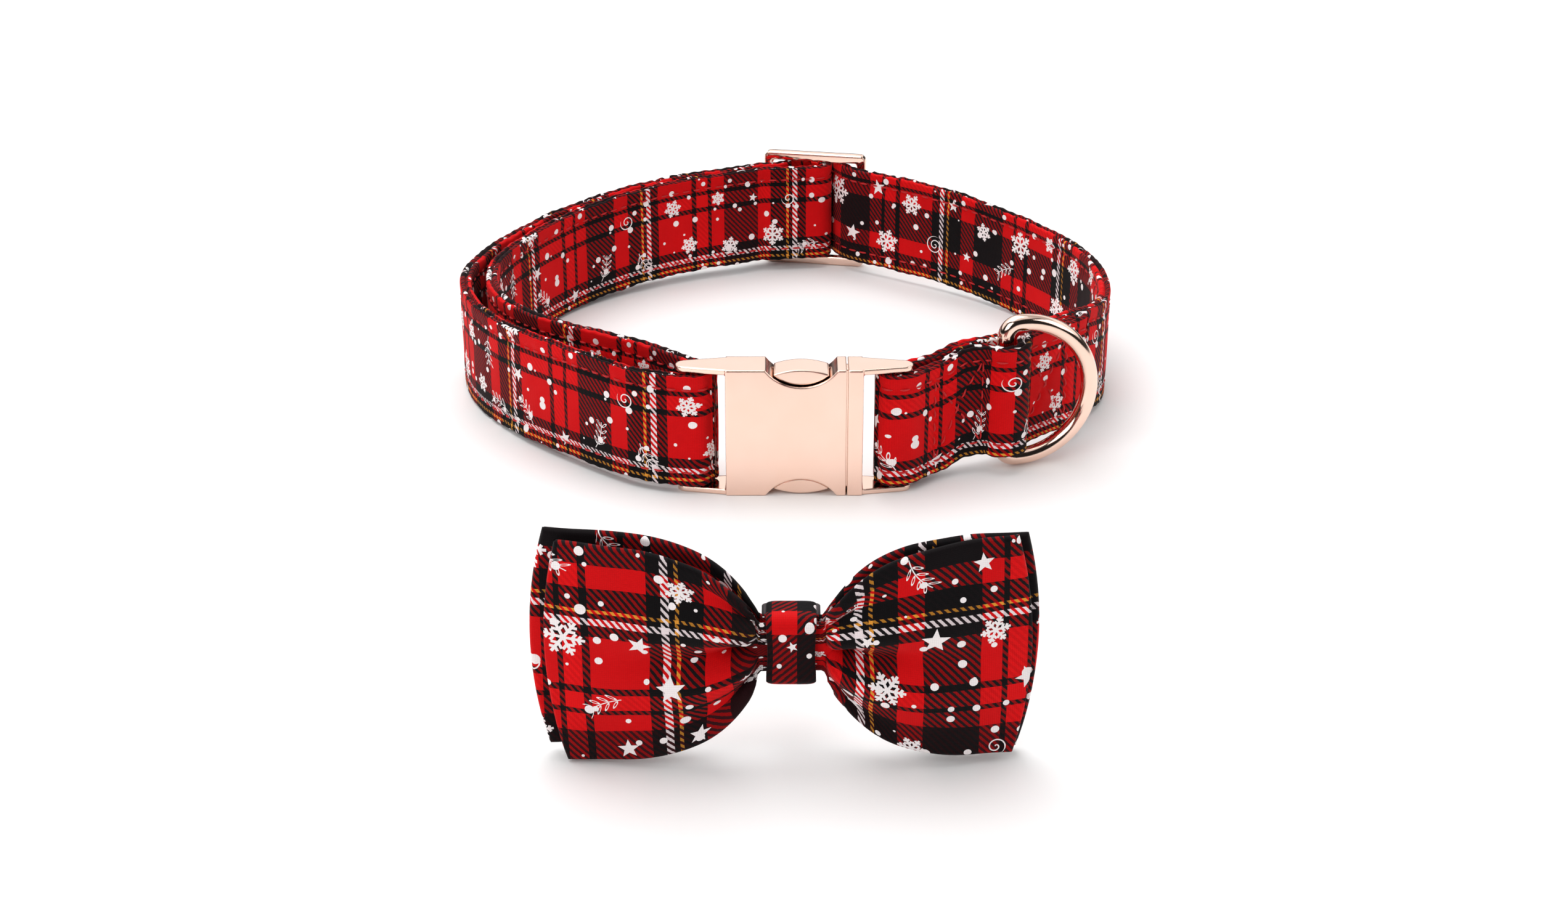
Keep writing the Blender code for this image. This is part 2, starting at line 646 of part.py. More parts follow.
def bow_layer(name, widths, half_height, tilt_deg, puff, offset, home, parent, finish):
    """One flat double cloth, pinched at the knot: wings flare, puff forward and keep one crease."""
    across = np.linspace(-1.0, 1.0, 35)
    across = np.sign(across) * np.abs(across) ** 1.25
    up = np.linspace(-1.0, 1.0, 13)
    p, q = np.meshgrid(across, up, indexing="ij")
    half_width = np.where(p < 0.0, widths[0], widths[1])
    x = p * (half_width - BOW_CORNER_INSET * q**2)
    z = q * wing_height(x, half_height)
    free = KNOT_WIDTH / 2 + KNOT_EASE
    wing = np.clip((np.abs(x) - free) / (half_width - free), 0.0, 1.0)
    swell = np.sin(math.pi * wing**0.65) ** 0.9
    crease = np.exp(-((q / 0.30) ** 2)) * np.clip(1.0 - wing / 0.7, 0.0, 1.0) * np.minimum(wing / 0.04, 1.0)
    y = offset - puff * swell * (1.0 - 0.5 * q**2) + BOW_CREASE * crease
    tilt = math.radians(tilt_deg)
    turned = [x * math.cos(tilt) - z * math.sin(tilt), y, x * math.sin(tilt) + z * math.cos(tilt)]
    vertices = np.stack(turned, axis=-1).reshape(-1, 3)
    layer = mesh_object(name, vertices, grid_faces(len(across), len(up)))
    place(layer, home, parent, finish)
    return smooth(solidify(layer, BOW_CLOTH), 60.0)


def loop_band(name, profile, width, wall, home, parent, finish):
    """A closed band of cloth: a ring profile in the Y-Z plane, carried along X."""
    profile = np.asarray(profile)
    across = np.linspace(-width / 2, width / 2, 3)
    vertices = [(x, y, z) for y, z in profile for x in across]
    band = mesh_object(name, vertices, grid_faces(len(profile), len(across), closed=True))
    place(band, home, parent, finish)
    return smooth(solidify(band, wall), 60.0)


def rounded_ring(low_y, high_y, half_height, radius, steps=4):
    """A rounded rectangle in Y and Z, anticlockwise seen along -X."""
    corners = (
        (high_y - radius, half_height - radius, 0.0),
        (low_y + radius, half_height - radius, 90.0),
        (low_y + radius, -half_height + radius, 180.0),
        (high_y - radius, -half_height + radius, 270.0),
    )
    points = []
    for y, z, start in corners:
        points += turn((y, z), radius, start, start + 90.0, steps)
    return points


def corner_drop(width, half_height, tilt_deg):
    """How far a wing's lower corner lies under the knot's middle, on the side that the tilt lowers."""
    tilt = math.radians(abs(tilt_deg))
    out = width - BOW_CORNER_INSET
    return float(wing_height(out, half_height)) * math.cos(tilt) + out * math.sin(tilt)


def build_bow(home, parent, cloth, elastic):
    """The bow stands on the front layer's left corner and the back layer's right one."""
    widths = (BOW_LEFT_WIDTH, BOW_RIGHT_WIDTH)
    back_widths = (BOW_BACK_LEFT_WIDTH, BOW_BACK_RIGHT_WIDTH)
    front_drop = corner_drop(widths[0] if BOW_TILT_DEG > 0 else widths[1], BOW_HALF_HEIGHT, BOW_TILT_DEG)
    back_side = back_widths[0] if BOW_BACK_TILT_DEG > 0 else back_widths[1]
    back_drop = corner_drop(back_side, BOW_BACK_HALF_HEIGHT, BOW_BACK_TILT_DEG)
    stand = empty("bow_place", home, (BOW_X, BOW_Y, max(front_drop, back_drop)), parent)
    half_pitch = BOW_LAYER_PITCH / 2
    front = (BOW_HALF_HEIGHT, BOW_TILT_DEG, BOW_PUFF, -half_pitch)
    back = (BOW_BACK_HALF_HEIGHT, BOW_BACK_TILT_DEG, BOW_BACK_PUFF, half_pitch)
    bow_layer("bow_front", widths, *front, home, stand, cloth)
    bow_layer("bow_back", back_widths, *back, home, stand, cloth)
    bundle = half_pitch + BOW_CLOTH / 2 + KNOT_GAP
    knot_middle = bundle + KNOT_WALL / 2
    knot = rounded_ring(-knot_middle, knot_middle, KNOT_HALF_HEIGHT - KNOT_WALL / 2, KNOT_CORNER)
    loop_band("bow_knot", knot, KNOT_WIDTH, KNOT_WALL, home, stand, cloth)
    front = knot_middle + KNOT_WALL / 2 + CLOTH_GAP + KEEPER_WALL / 2
    keeper = rounded_ring(front, front + KEEPER_REACH, KEEPER_HALF_HEIGHT - KEEPER_WALL / 2, KEEPER_CORNER)
    keeper = [(y, z - KEEPER_DROP) for y, z in keeper]
    loop_band("bow_keeper", keeper, KEEPER_WIDTH, KEEPER_WALL, home, stand, elastic)


def stand_on_origin(root, nodes):
    """Moves the whole set so that the origin is on the floor under its middle."""
    bpy.context.view_layer.update()
    graph = bpy.context.evaluated_depsgraph_get()
    corners = []
    for node in nodes:
        solid = node.evaluated_get(graph)
        mesh = solid.to_mesh()
        corners += [solid.matrix_world @ vertex.co for vertex in mesh.vertices]
        solid.to_mesh_clear()
    low = np.min(corners, axis=0)
    high = np.max(corners, axis=0)
    root.location = (-(low[0] + high[0]) / 2, -(low[1] + high[1]) / 2, -low[2])


def main():
    clear_scene()
    home = collection("pet_bow_tie_collar")
    cutters = collection("cutters")
    cloth = material("strap cloth", CLOTH_RED, 0.85)
    bow_cloth = material("bow cloth", CLOTH_DARK, 0.85)
    gold = material("rose gold", ROSE_GOLD, 0.14, 1.0)
    elastic = material("elastic", ELASTIC_BLACK, 0.8)
    root = empty("collar_set", home, (0.0, 0.0, 0.0))
    ribbon("strap_left_run", left_run_line(), home, root, cloth)
    ribbon("strap_right_run", right_run_line(), home, root, cloth)
    ribbon("strap_adjusting_loop", adjusting_line(), home, root, cloth)
    ribbon("strap_sewn_end", sewn_end_line(), home, root, cloth)
    build_female(home, cutters, root, gold)
    build_male(home, cutters, root, gold)
    build_buttons(home, root, gold)
    build_ring(home, root, gold)
    build_slider(home, cutters, root, gold)
    build_bow(home, root, bow_cloth, elastic)
    nodes = [obj for obj in home.objects if obj.type in {"MESH", "CURVE"}]
    stand_on_origin(root, nodes)


main()
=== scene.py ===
"""Looks of the pet bow tie collar: tartan-covered strap, polished rose gold hardware and its slip-on bow.

Metres, +Z up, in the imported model's own frame. Cloth pieces carry a UV map named "cloth", in metres of
flat cloth, which carry the tartan, the print and the weave round every fold.
"""

import functools
import itertools
import json
import logging
import math
from collections.abc import Iterator
from contextlib import contextmanager
from dataclasses import dataclass, field
from enum import Enum

import bmesh
import bpy
import numpy as np
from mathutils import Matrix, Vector

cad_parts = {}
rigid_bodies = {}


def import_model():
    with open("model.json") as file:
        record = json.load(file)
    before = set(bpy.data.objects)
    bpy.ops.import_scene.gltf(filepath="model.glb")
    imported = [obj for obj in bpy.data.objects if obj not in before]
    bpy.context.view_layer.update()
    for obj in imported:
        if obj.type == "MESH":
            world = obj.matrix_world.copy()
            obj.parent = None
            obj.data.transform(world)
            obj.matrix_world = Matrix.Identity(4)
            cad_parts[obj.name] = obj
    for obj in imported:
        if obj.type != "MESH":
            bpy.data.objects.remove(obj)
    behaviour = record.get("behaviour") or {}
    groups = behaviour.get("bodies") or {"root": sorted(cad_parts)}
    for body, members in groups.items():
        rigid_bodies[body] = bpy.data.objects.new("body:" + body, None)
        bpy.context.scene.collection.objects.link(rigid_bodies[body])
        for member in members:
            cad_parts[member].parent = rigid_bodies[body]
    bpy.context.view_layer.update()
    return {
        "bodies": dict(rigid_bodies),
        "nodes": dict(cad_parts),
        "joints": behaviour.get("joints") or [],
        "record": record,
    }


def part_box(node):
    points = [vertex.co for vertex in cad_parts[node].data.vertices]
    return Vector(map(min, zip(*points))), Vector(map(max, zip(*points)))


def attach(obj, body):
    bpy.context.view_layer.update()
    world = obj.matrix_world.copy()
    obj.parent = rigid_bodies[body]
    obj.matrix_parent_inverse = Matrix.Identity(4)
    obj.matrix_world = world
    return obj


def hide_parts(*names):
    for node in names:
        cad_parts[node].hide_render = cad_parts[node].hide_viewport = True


log = logging.getLogger("bow_tie_collar")

MM = 0.001
CLOTH_MAP = "cloth"


class Side(Enum):
    """The two faces of the strap: the one that the pet wears outwards, and the one at its neck."""

    OUTER = 1.0
    INNER = -1.0


class Motif(Enum):
    """The printed winter ornaments."""

    CRYSTAL = "snow_crystal"
    STAR = "five_point_star"
    SPRIG = "leafy_sprig"
    CURL = "curl"


def linear(red: float, green: float, blue: float) -> tuple[float, float, float, float]:
    """A screen colour as linear light.

    Each share c becomes ((c + 0.055) / 1.055) to the power 2.4, or c / 12.92 where it is small.

    Args:
        red: Red from 0 to 255.
        green: Green from 0 to 255.
        blue: Blue from 0 to 255.

    Returns:
        Red, green, blue and alpha as shares.
    """
    shares = np.array([red, green, blue]) / 255.0
    light = np.where(shares > 0.04045, ((shares + 0.055) / 1.055) ** 2.4, shares / 12.92)
    return (float(light[0]), float(light[1]), float(light[2]), 1.0)


CLOTH_RED = linear(208, 5, 11)
CLOTH_BRIGHT_RED = linear(222, 9, 14)
CLOTH_MAROON = linear(50, 9, 15)
CLOTH_CHARCOAL = linear(25, 15, 19)
CLOTH_BLACK = linear(17, 12, 15)
CLOTH_WHITE = linear(236, 222, 224)
CLOTH_YELLOW = linear(220, 148, 52)
PRINT_WHITE = linear(248, 240, 240)
# The sewing thread's red, darker and brighter: painted shade and painted highlight on its twist
THREAD_TWIST_PAINTED_SHADE = linear(150, 5, 12)
THREAD_TWIST_PAINTED_HIGHLIGHT = linear(222, 18, 22)
ROSE_GOLD = linear(246, 215, 199)
# Deeper rose gold, painted in clouds as dimmer patches of reflection
ROSE_GOLD_PAINTED_DIM_REFLECTION = linear(243, 207, 188)
ELASTIC_DARK = linear(18, 14, 16)
# Paler crests of the elastic's ribs: a painted highlight
ELASTIC_RIB_PAINTED_HIGHLIGHT = linear(58, 48, 52)
PAPER_COOL = linear(250, 250, 250)
PAPER_WARM = linear(253, 252, 251)
SKY_BEHIND = (
    # height of the direction, grey
    (0.00, 0.30),
    (0.06, 0.05),
    (0.20, 0.06),
    (0.28, 1.32),
    (0.58, 1.32),
    (0.72, 0.60),
    (1.00, 0.66),
)
SKY_BEFORE = (
    # height of the direction, grey
    (0.00, 0.30),
    (0.03, 0.02),
    (0.84, 0.02),
    (0.92, 1.30),
    (1.00, 0.80),
)

CRYSTAL_BRANCHES = (
    # foot and length, as shares of the radius
    (0.40, 0.34),
    (0.68, 0.26),
)
CRYSTAL_BAR = 0.10
CRYSTAL_BAR_SHARE = 0.045
STAR_NOTCH = 0.42
STEM_BEND = 0.05
STEM_HALF_WIDTH = 0.09
LEAF_SPACING = 1.5
LEAF_SLANT = 0.9
LEAF_OUT = 0.85
LEAF_HALF_WIDTH = 0.34
LEAF_HALF_LENGTH = 0.72
LEAF_HOLLOW = 0.34
CURL_PITCH = 1.15
CURL_HALF_WIDTH = 0.11


# Node trees


class NodeBoard:
    """Adds nodes to one tree and wires them; an input may be a number, a colour or another node's socket."""

    def __init__(self, tree: bpy.types.NodeTree) -> None:
        """Keeps the tree that the nodes go into."""
        self.tree = tree

    def feed(self, socket: bpy.types.NodeSocket, value: object) -> None:
        """Gives a socket its value, or links it if the value is a socket.

        Args:
            socket: The input to set.
            value: A number, a sequence or an output socket.
        """
        if isinstance(value, bpy.types.NodeSocket):
            self.tree.links.new(value, socket)
        else:
            socket.default_value = value

    def add(self, kind: str, inputs: dict | None = None, **settings: object) -> bpy.types.Node:
        """Makes a node.

        Args:
            kind: The node's type name.
            inputs: Its inputs by name or place.
            settings: Its properties.

        Returns:
            The new node.
        """
        node = self.tree.nodes.new(kind)
        for name, value in settings.items():
            setattr(node, name, value)
        for key, value in (inputs or {}).items():
            self.feed(node.inputs[key], value)
        return node

    def math(self, operation: str, *values: object) -> bpy.types.NodeSocket:
        """One Math node's result; the values go to its inputs in order."""
        return self.add("ShaderNodeMath", dict(enumerate(values)), operation=operation).outputs[0]

    def chain(self, operation: str, values: tuple) -> bpy.types.NodeSocket:
        """One operation carried through two or more values in turn."""
        return functools.reduce(lambda result, value: self.math(operation, result, value), values)

    def plus(self, *values: object) -> bpy.types.NodeSocket:
        """The sum of two or more values."""
        return self.chain("ADD", values)

    def times(self, *values: object) -> bpy.types.NodeSocket:
        """The product of two or more values; of masks, it is 1 only where all of them are."""
        return self.chain("MULTIPLY", values)

    def most(self, *values: object) -> bpy.types.NodeSocket:
        """The largest of two or more values; of masks, it is 1 where any of them is."""
        return self.chain("MAXIMUM", values)

    def minus(self, first: object, second: object) -> bpy.types.NodeSocket:
        """The first value less the second."""
        return self.math("SUBTRACT", first, second)

    def over(self, first: object, second: object) -> bpy.types.NodeSocket:
        """The first value divided by the second."""
        return self.math("DIVIDE", first, second)

    def under(self, value: object, limit: object) -> bpy.types.NodeSocket:
        """1 where the value is under the limit, else 0."""
        return self.math("LESS_THAN", value, limit)

    def above(self, value: object, limit: object) -> bpy.types.NodeSocket:
        """1 where the value is above the limit, else 0."""
        return self.math("GREATER_THAN", value, limit)

    def fraction(self, value: object) -> bpy.types.NodeSocket:
        """The part of the value after its point."""
        return self.math("FRACT", value)

    def within(self, value: object, limit: object) -> bpy.types.NodeSocket:
        """1 where the value's size is under the limit, else 0."""
        return self.math("LESS_THAN", self.math("ABSOLUTE", value), limit)

    def mix(self, factor: object, first: object, second: object, blend: str = "MIX") -> bpy.types.NodeSocket:
        """Two colours mixed by a factor.

        Args:
            factor: 0 for the first, 1 for the second.
            first: A colour or a colour socket.
            second: A colour or a colour socket.
            blend: Blender's name for the way of mixing.

        Returns:
            The mixed colour's socket.
        """
        node = self.add("ShaderNodeMix", data_type="RGBA", blend_type=blend, clamp_factor=True)
        colours = [socket for socket in node.inputs if socket.type == "RGBA"]
        self.feed(node.inputs["Factor"], factor)
        self.feed(colours[0], first)
        self.feed(colours[1], second)
        return next(socket for socket in node.outputs if socket.type == "RGBA")

    def vector(self, x: object, y: object, z: object = 0.0) -> bpy.types.NodeSocket:
        """Three numbers as one vector."""
        return self.add("ShaderNodeCombineXYZ", {"X": x, "Y": y, "Z": z}).outputs[0]

    def axes(self, vector: bpy.types.NodeSocket) -> bpy.types.bpy_prop_collection:
        """A vector's three numbers, as outputs named X, Y and Z."""
        return self.add("ShaderNodeSeparateXYZ", {"Vector": vector}).outputs

    def channels(self, colour: bpy.types.NodeSocket) -> bpy.types.bpy_prop_collection:
        """A colour's three shares, as outputs named Red, Green and Blue."""
        return self.add("ShaderNodeSeparateColor", {"Color": colour}).outputs

    def grey(self, value: object) -> bpy.types.NodeSocket:
        """A number as a grey."""
        shares = {name: value for name in ("Red", "Green", "Blue")}
        return self.add("ShaderNodeCombineColor", shares).outputs[0]

    def reach(self, place: bpy.types.NodeSocket) -> bpy.types.NodeSocket:
        """A place's distance from its origin."""
        return self.add("ShaderNodeVectorMath", {0: place}, operation="LENGTH").outputs["Value"]

    def noise(self, place: bpy.types.NodeSocket, scale: float, detail: float = 2.0) -> bpy.types.NodeSocket:
        """Soft noise between 0 and 1."""
        return self.add("ShaderNodeTexNoise", {"Vector": place, "Scale": scale, "Detail": detail}).outputs[0]

    def solid_place(self) -> bpy.types.NodeSocket:
        """The place on the piece, in metres, which its Object coordinates give."""
        return self.add("ShaderNodeTexCoord").outputs["Object"]

    def ramp(self, value: object, stops: tuple, kind: str = "LINEAR") -> bpy.types.NodeSocket:
        """A ramp of colours.

        Args:
            value: Where on the ramp, from 0 to 1.
            stops: Place and colour of each stop, lowest first.
            kind: Blender's name for what happens between two stops.

        Returns:
            The ramp's colour.
        """
        node = self.add("ShaderNodeValToRGB", {"Fac": value})
        node.color_ramp.interpolation = kind
        elements = node.color_ramp.elements
        elements.remove(elements[-1])
        for index, (place, colour) in enumerate(stops):
            stop = elements.new(place) if index else elements[0]
            stop.position = place
            stop.color = colour
        return node.outputs["Color"]

    def group(self, tree: bpy.types.NodeTree, **inputs: object) -> bpy.types.bpy_prop_collection:
        """Places a node group; its tree is set first, since its inputs exist only then.

        Args:
            tree: The group's tree.
            inputs: Its inputs by name.

        Returns:
            The group's outputs.
        """
        node = self.add("ShaderNodeGroup", node_tree=tree)
        for key, value in inputs.items():
            self.feed(node.inputs[key], value)
        return node.outputs


SOCKETS = {"number": "NodeSocketFloat", "vector": "NodeSocketVector", "colour": "NodeSocketColor"}


@dataclass
class GroupTree:
    """A node group under construction, with its board and its two ends.

    Attributes:
        name: The group's name.
        inputs: The number that each input holds until it is wired.
        outputs: Each output's kind: number, vector or colour.
    """

    name: str
    inputs: dict[str, float]
    outputs: dict[str, str]
    tree: bpy.types.NodeTree = field(init=False)
    board: NodeBoard = field(init=False)

    def __post_init__(self) -> None:
        """Makes the tree and its sockets."""
        self.tree = bpy.data.node_groups.new(self.name, "ShaderNodeTree")
        for name, default in self.inputs.items():
            self.socket(name, "INPUT", "number").default_value = default
        for name, kind in self.outputs.items():
            self.socket(name, "OUTPUT", kind)
        self.board = NodeBoard(self.tree)
        self.start = self.board.add("NodeGroupInput").outputs
        self.end = self.board.add("NodeGroupOutput")

    def socket(self, name: str, end: str, kind: str) -> bpy.types.NodeTreeInterfaceSocket:
        """Adds one socket to the group's input or output end."""
        return self.tree.interface.new_socket(name=name, in_out=end, socket_type=SOCKETS[kind])

    def put_out(self, **results: object) -> bpy.types.NodeTree:
        """Wires the results to the group's output end.

        Args:
            results: Each output's socket by name.

        Returns:
            The finished tree.
        """
        for name, value in results.items():
            self.board.feed(self.end.inputs[name], value)
        return self.tree


# Tartan, print and weave


@dataclass(frozen=True)
class Stripe:
    """One stripe of the sett: its width in millimetres and its colour."""

    width: float
    colour: tuple[float, float, float, float]


def stripes_on(ground: tuple[float, float, float, float]) -> tuple[Stripe, ...]:
    """One run of the tartan's stripes.

    Args:
        ground: The colour of its broad dark band.

    Returns:
        The stripes, in order.
    """
    return (
        Stripe(9.4, ground),
        Stripe(3.3, CLOTH_RED),
        Stripe(1.0, CLOTH_BLACK),
        Stripe(3.2, CLOTH_BRIGHT_RED),
        Stripe(1.4, CLOTH_BLACK),
        Stripe(9.8, CLOTH_RED),
        Stripe(2.3, CLOTH_BLACK),
        Stripe(1.1, CLOTH_WHITE),
        Stripe(1.1, CLOTH_BLACK),
        Stripe(0.7, CLOTH_YELLOW),
        Stripe(3.8, CLOTH_BLACK),
        Stripe(4.4, CLOTH_RED),
    )


@dataclass(frozen=True)
class Sett:
    """The tartan's run of stripes, which repeats both along and across the cloth."""

    stripes: tuple[Stripe, ...] = stripes_on(CLOTH_MAROON) + stripes_on(CLOTH_CHARCOAL)

    @property
    def repeat(self) -> float:
        """The width of one whole run, in millimetres."""
        return sum(stripe.width for stripe in self.stripes)

    @property
    def white_middle(self) -> float:
        """Where the middle of the first white line lies, in millimetres.

        Returns:
            The place along the sett.
        """
        colours = [stripe.colour for stripe in self.stripes]
        place = colours.index(CLOTH_WHITE)
        return sum(stripe.width for stripe in self.stripes[:place]) + self.stripes[place].width / 2

    def ramp(self, board: NodeBoard, position: bpy.types.NodeSocket) -> bpy.types.NodeSocket:
        """The stripe's colour at a position: the position's remainder within one repeat picks a stripe.

        Args:
            board: Where the nodes go.
            position: The place along the sett, in millimetres.

        Returns:
            The colour socket.
        """
        starts = np.cumsum([0.0] + [stripe.width for stripe in self.stripes[:-1]]) / self.repeat
        stops = [(float(start), stripe.colour) for start, stripe in zip(starts, self.stripes)]
        return board.ramp(board.fraction(board.over(position, self.repeat)), stops, "CONSTANT")


@dataclass(frozen=True)
class TartanPrint:
    """Builds the cloth's node groups once; every cloth material places the same ones.

    Attributes:
        sett: The tartan's run of stripes.
        hatch_along: The step of the hatching's diagonals along the cloth, in millimetres.
        hatch_across: The same across it.
        hatch_wobble: How far the diagonals waver, as a share of a step.
        crimson: The share of its light that red loses over dark.
        thread_pitch: From thread to thread, in millimetres.
        least_tone: How bright the cloth is where the painted shade of its threads and fuzz and its uneven
            patches are all lowest.
        row_shift: How far each row of cells is shifted, as a share of a cell.
        motif_cell: The cell that holds one motif, in millimetres.
        dot_cells: The cells that hold one snow dot, in millimetres.
        dot_share: The share of those cells that show theirs.
        dot_radius: The smallest dot's radius, in millimetres.
        dot_more: What a dot's own size adds to it at most.
        dot_step: What the larger cells add to it.
    """

    sett: Sett = Sett()
    hatch_along: float = 1.28
    hatch_across: float = 1.45
    hatch_wobble: float = 0.22
    wobble_scale: float = 1.7
    crimson: float = 0.62
    thread_pitch: float = 0.34
    fuzz_scale: float = 4.0
    patch_scale: float = 0.16
    least_tone: float = 0.80
    thread_painted_shade: float = 0.07
    fuzz_painted_shade: float = 0.16
    patch_tone: float = 0.20
    row_shift: float = 0.37
    motif_cell: float = 11.6
    motif_stray: float = 0.20
    dot_cells: tuple[float, ...] = (5.3, 7.7)
    dot_stray: float = 0.34
    dot_share: float = 0.52
    dot_radius: float = 0.22
    dot_more: float = 0.60
    dot_step: float = 0.16

    def tartan(self) -> bpy.types.NodeTree:
        """Warp and weft stripes shown by turns along diagonals, as a printed twill does.

        The part after the point of (along / hatch_along + across / hatch_across) picks weft below a half,
        else warp. Red loses up to the share "crimson" of its light where the stripe that crosses it is dark.

        Returns:
            The group's tree.
        """
        group = GroupTree("printed_tartan", {"Along": 0.0, "Across": 0.0}, {"Colour": "colour"})
        board, start = group.board, group.start
        along, across = start["Along"], start["Across"]
        warp, weft = self.sett.ramp(board, along), self.sett.ramp(board, across)
        steps = board.plus(
            board.over(along, self.hatch_along),
            board.over(across, self.hatch_across),
            board.times(board.noise(board.vector(along, across), self.wobble_scale), self.hatch_wobble),
        )
        hatch = board.above(board.fraction(steps), 0.5)
        shown = board.mix(hatch, weft, warp)
        crossed = board.mix(hatch, warp, weft)
        light = board.over(board.channels(crossed)["Red"], CLOTH_RED[0])
        dark = board.minus(1.0, board.math("MINIMUM", light, 1.0))
        loss = board.times(dark, board.minus(1.0, board.channels(shown)["Green"]), self.crimson)
        dim = board.grey(board.minus(1.0, loss))
        return group.put_out(Colour=board.mix(1.0, shown, dim, "MULTIPLY"))

    def threads(self) -> bpy.types.NodeTree:
        """Fine woven threads: the product of two sine ridges on the cloth's two diagonals, with a soft fuzz.

        Returns:
            The group's tree.
        """
        outputs = {"Height": "number", "Tone": "number"}
        group = GroupTree("fine_threads", {"Along": 0.0, "Across": 0.0}, outputs)
        board, start = group.board, group.start
        along, across = start["Along"], start["Across"]
        half_turns = math.pi / self.thread_pitch
        ridge = board.math("SINE", board.times(board.plus(along, across), half_turns))
        furrow = board.math("SINE", board.times(board.minus(along, across), half_turns))
        cross = board.times(ridge, furrow)
        place = board.vector(along, across)
        fuzz = board.noise(place, self.fuzz_scale, 3.0)
        patches = board.noise(place, self.patch_scale)
        height = board.math("MULTIPLY_ADD", cross, 0.5, board.times(fuzz, 0.8))
        # The tone is lighter where the ridges and the fuzz stand up and darker in their dips, as the height
        # is: painted shade on the weave. The patches are uneven tone of the cloth.
        shares = ((cross, self.thread_painted_shade), (fuzz, self.fuzz_painted_shade), (patches, self.patch_tone))
        painted_shade_and_tone = board.plus(*(board.times(value, share) for value, share in shares), self.least_tone)
        return group.put_out(Height=height, Tone=painted_shade_and_tone)

    def cell(self) -> bpy.types.NodeTree:
        """Splits the cloth into square cells; each has a centre, a turn and a pick of its own.

        Returns:
            The group's tree, whose local place is in millimetres about the cell's own centre.
        """
        group = GroupTree(
            "print_cell",
            {"Along": 0.0, "Across": 0.0, "Cell": 10.0, "Stray": 0.2, "Seed": 0.0},
            {"Place": "vector", "Pick": "number", "Size": "number"},
        )
        board, start = group.board, group.start
        size, seed = start["Cell"], start["Seed"]
        in_cells = [board.over(start[name], size) for name in ("Along", "Across")]
        row_shift = board.times(board.math("FLOOR", in_cells[1]), self.row_shift)
        in_cells[0] = board.plus(in_cells[0], row_shift)
        ids = [board.math("FLOOR", value) for value in in_cells]
        chance = self.chance(board, board.vector(ids[0], ids[1], seed))
        parts = board.channels(chance["Color"])
        local = []
        for value, label in zip(in_cells, ("Red", "Green")):
            stray = board.minus(parts[label], 0.5)
            centred = board.minus(board.fraction(value), 0.5)
            off = board.times(stray, board.times(start["Stray"], 2.0))
            local.append(board.times(board.minus(centred, off), size))
        turned = board.add(
            "ShaderNodeVectorRotate",
            {"Vector": board.vector(*local), "Angle": board.times(parts["Blue"], 2.0 * math.pi)},
            rotation_type="Z_AXIS",
        )
        second = self.chance(board, board.vector(ids[1], ids[0], seed))
        return group.put_out(Place=turned.outputs[0], Pick=chance["Value"], Size=second["Value"])

    @staticmethod
    def chance(board: NodeBoard, key: bpy.types.NodeSocket) -> bpy.types.bpy_prop_collection:
        """A chance number and a chance colour for each key."""
        return board.add("ShaderNodeTexWhiteNoise", {"Vector": key}, noise_dimensions="3D").outputs

    @staticmethod
    def folded(board: NodeBoard, place: bpy.types.NodeSocket, arms: int) -> tuple[object, object, object]:
        """Polar folding: the angle is reflected into half of one arm's sector, then turned back to X and Y.

        Args:
            board: Where the nodes go.
            place: The local place.
            arms: How many arms the figure has.

        Returns:
            The folded X and Y and the distance from the centre.
        """
        axes, reach = board.axes(place), board.reach(place)
        angle = board.math("PINGPONG", board.math("ARCTAN2", axes["Y"], axes["X"]), math.pi / arms)
        x, y = (board.times(reach, board.math(part, angle)) for part in ("COSINE", "SINE"))
        return x, y, reach

    @staticmethod
    def motif_group(motif: Motif, radius: float) -> tuple[GroupTree, NodeBoard, object, object]:
        """A motif's group: a place and a radius in, a mask out.

        Args:
            motif: Which motif.
            radius: The radius that it has until it is wired.

        Returns:
            The group, its board, and the sockets of the place and the radius.
        """
        group = GroupTree(motif.value, {"Radius": radius}, {"Mask": "number"})
        group.socket("Place", "INPUT", "vector")
        return group, group.board, group.start["Place"], group.start["Radius"]

    def crystal(self) -> bpy.types.NodeTree:
        """A six-armed snow crystal: a bar along each arm and two side branches at 60 degrees.

        Returns:
            The group's tree.
        """
        group, board, place, radius = self.motif_group(Motif.CRYSTAL, 3.0)
        x, y, reach = self.folded(board, place, 6)
        width = board.math("MULTIPLY_ADD", radius, CRYSTAL_BAR_SHARE, CRYSTAL_BAR)
        parts = [board.times(board.within(y, width), board.under(reach, radius))]
        # The cosine and the sine of a branch's 60 degrees
        half, root = 0.5, 0.866
        for foot, length in CRYSTAL_BRANCHES:
            from_foot = board.minus(x, board.times(radius, foot))
            ahead = board.plus(board.times(from_foot, half), board.times(y, root))
            aside = board.minus(board.times(from_foot, root), board.times(y, half))
            on_branch = board.times(board.under(ahead, board.times(radius, length)), board.above(ahead, 0.0))
            parts.append(board.times(board.within(aside, width), on_branch))
        return group.put_out(Mask=board.most(*parts))

    def star(self) -> bpy.types.NodeTree:
        """A five-pointed star: inside the line from each tip to the notch beside it.

        Returns:
            The group's tree.
        """
        group, board, place, radius = self.motif_group(Motif.STAR, 2.4)
        x, y, _ = self.folded(board, place, 5)
        notch_x, notch_y = (STAR_NOTCH * part(math.pi / 5) for part in (math.cos, math.sin))
        tip = board.minus(x, radius)
        line = board.minus(board.times(y, notch_x - 1.0), board.times(tip, notch_y))
        return group.put_out(Mask=board.above(line, 0.0))

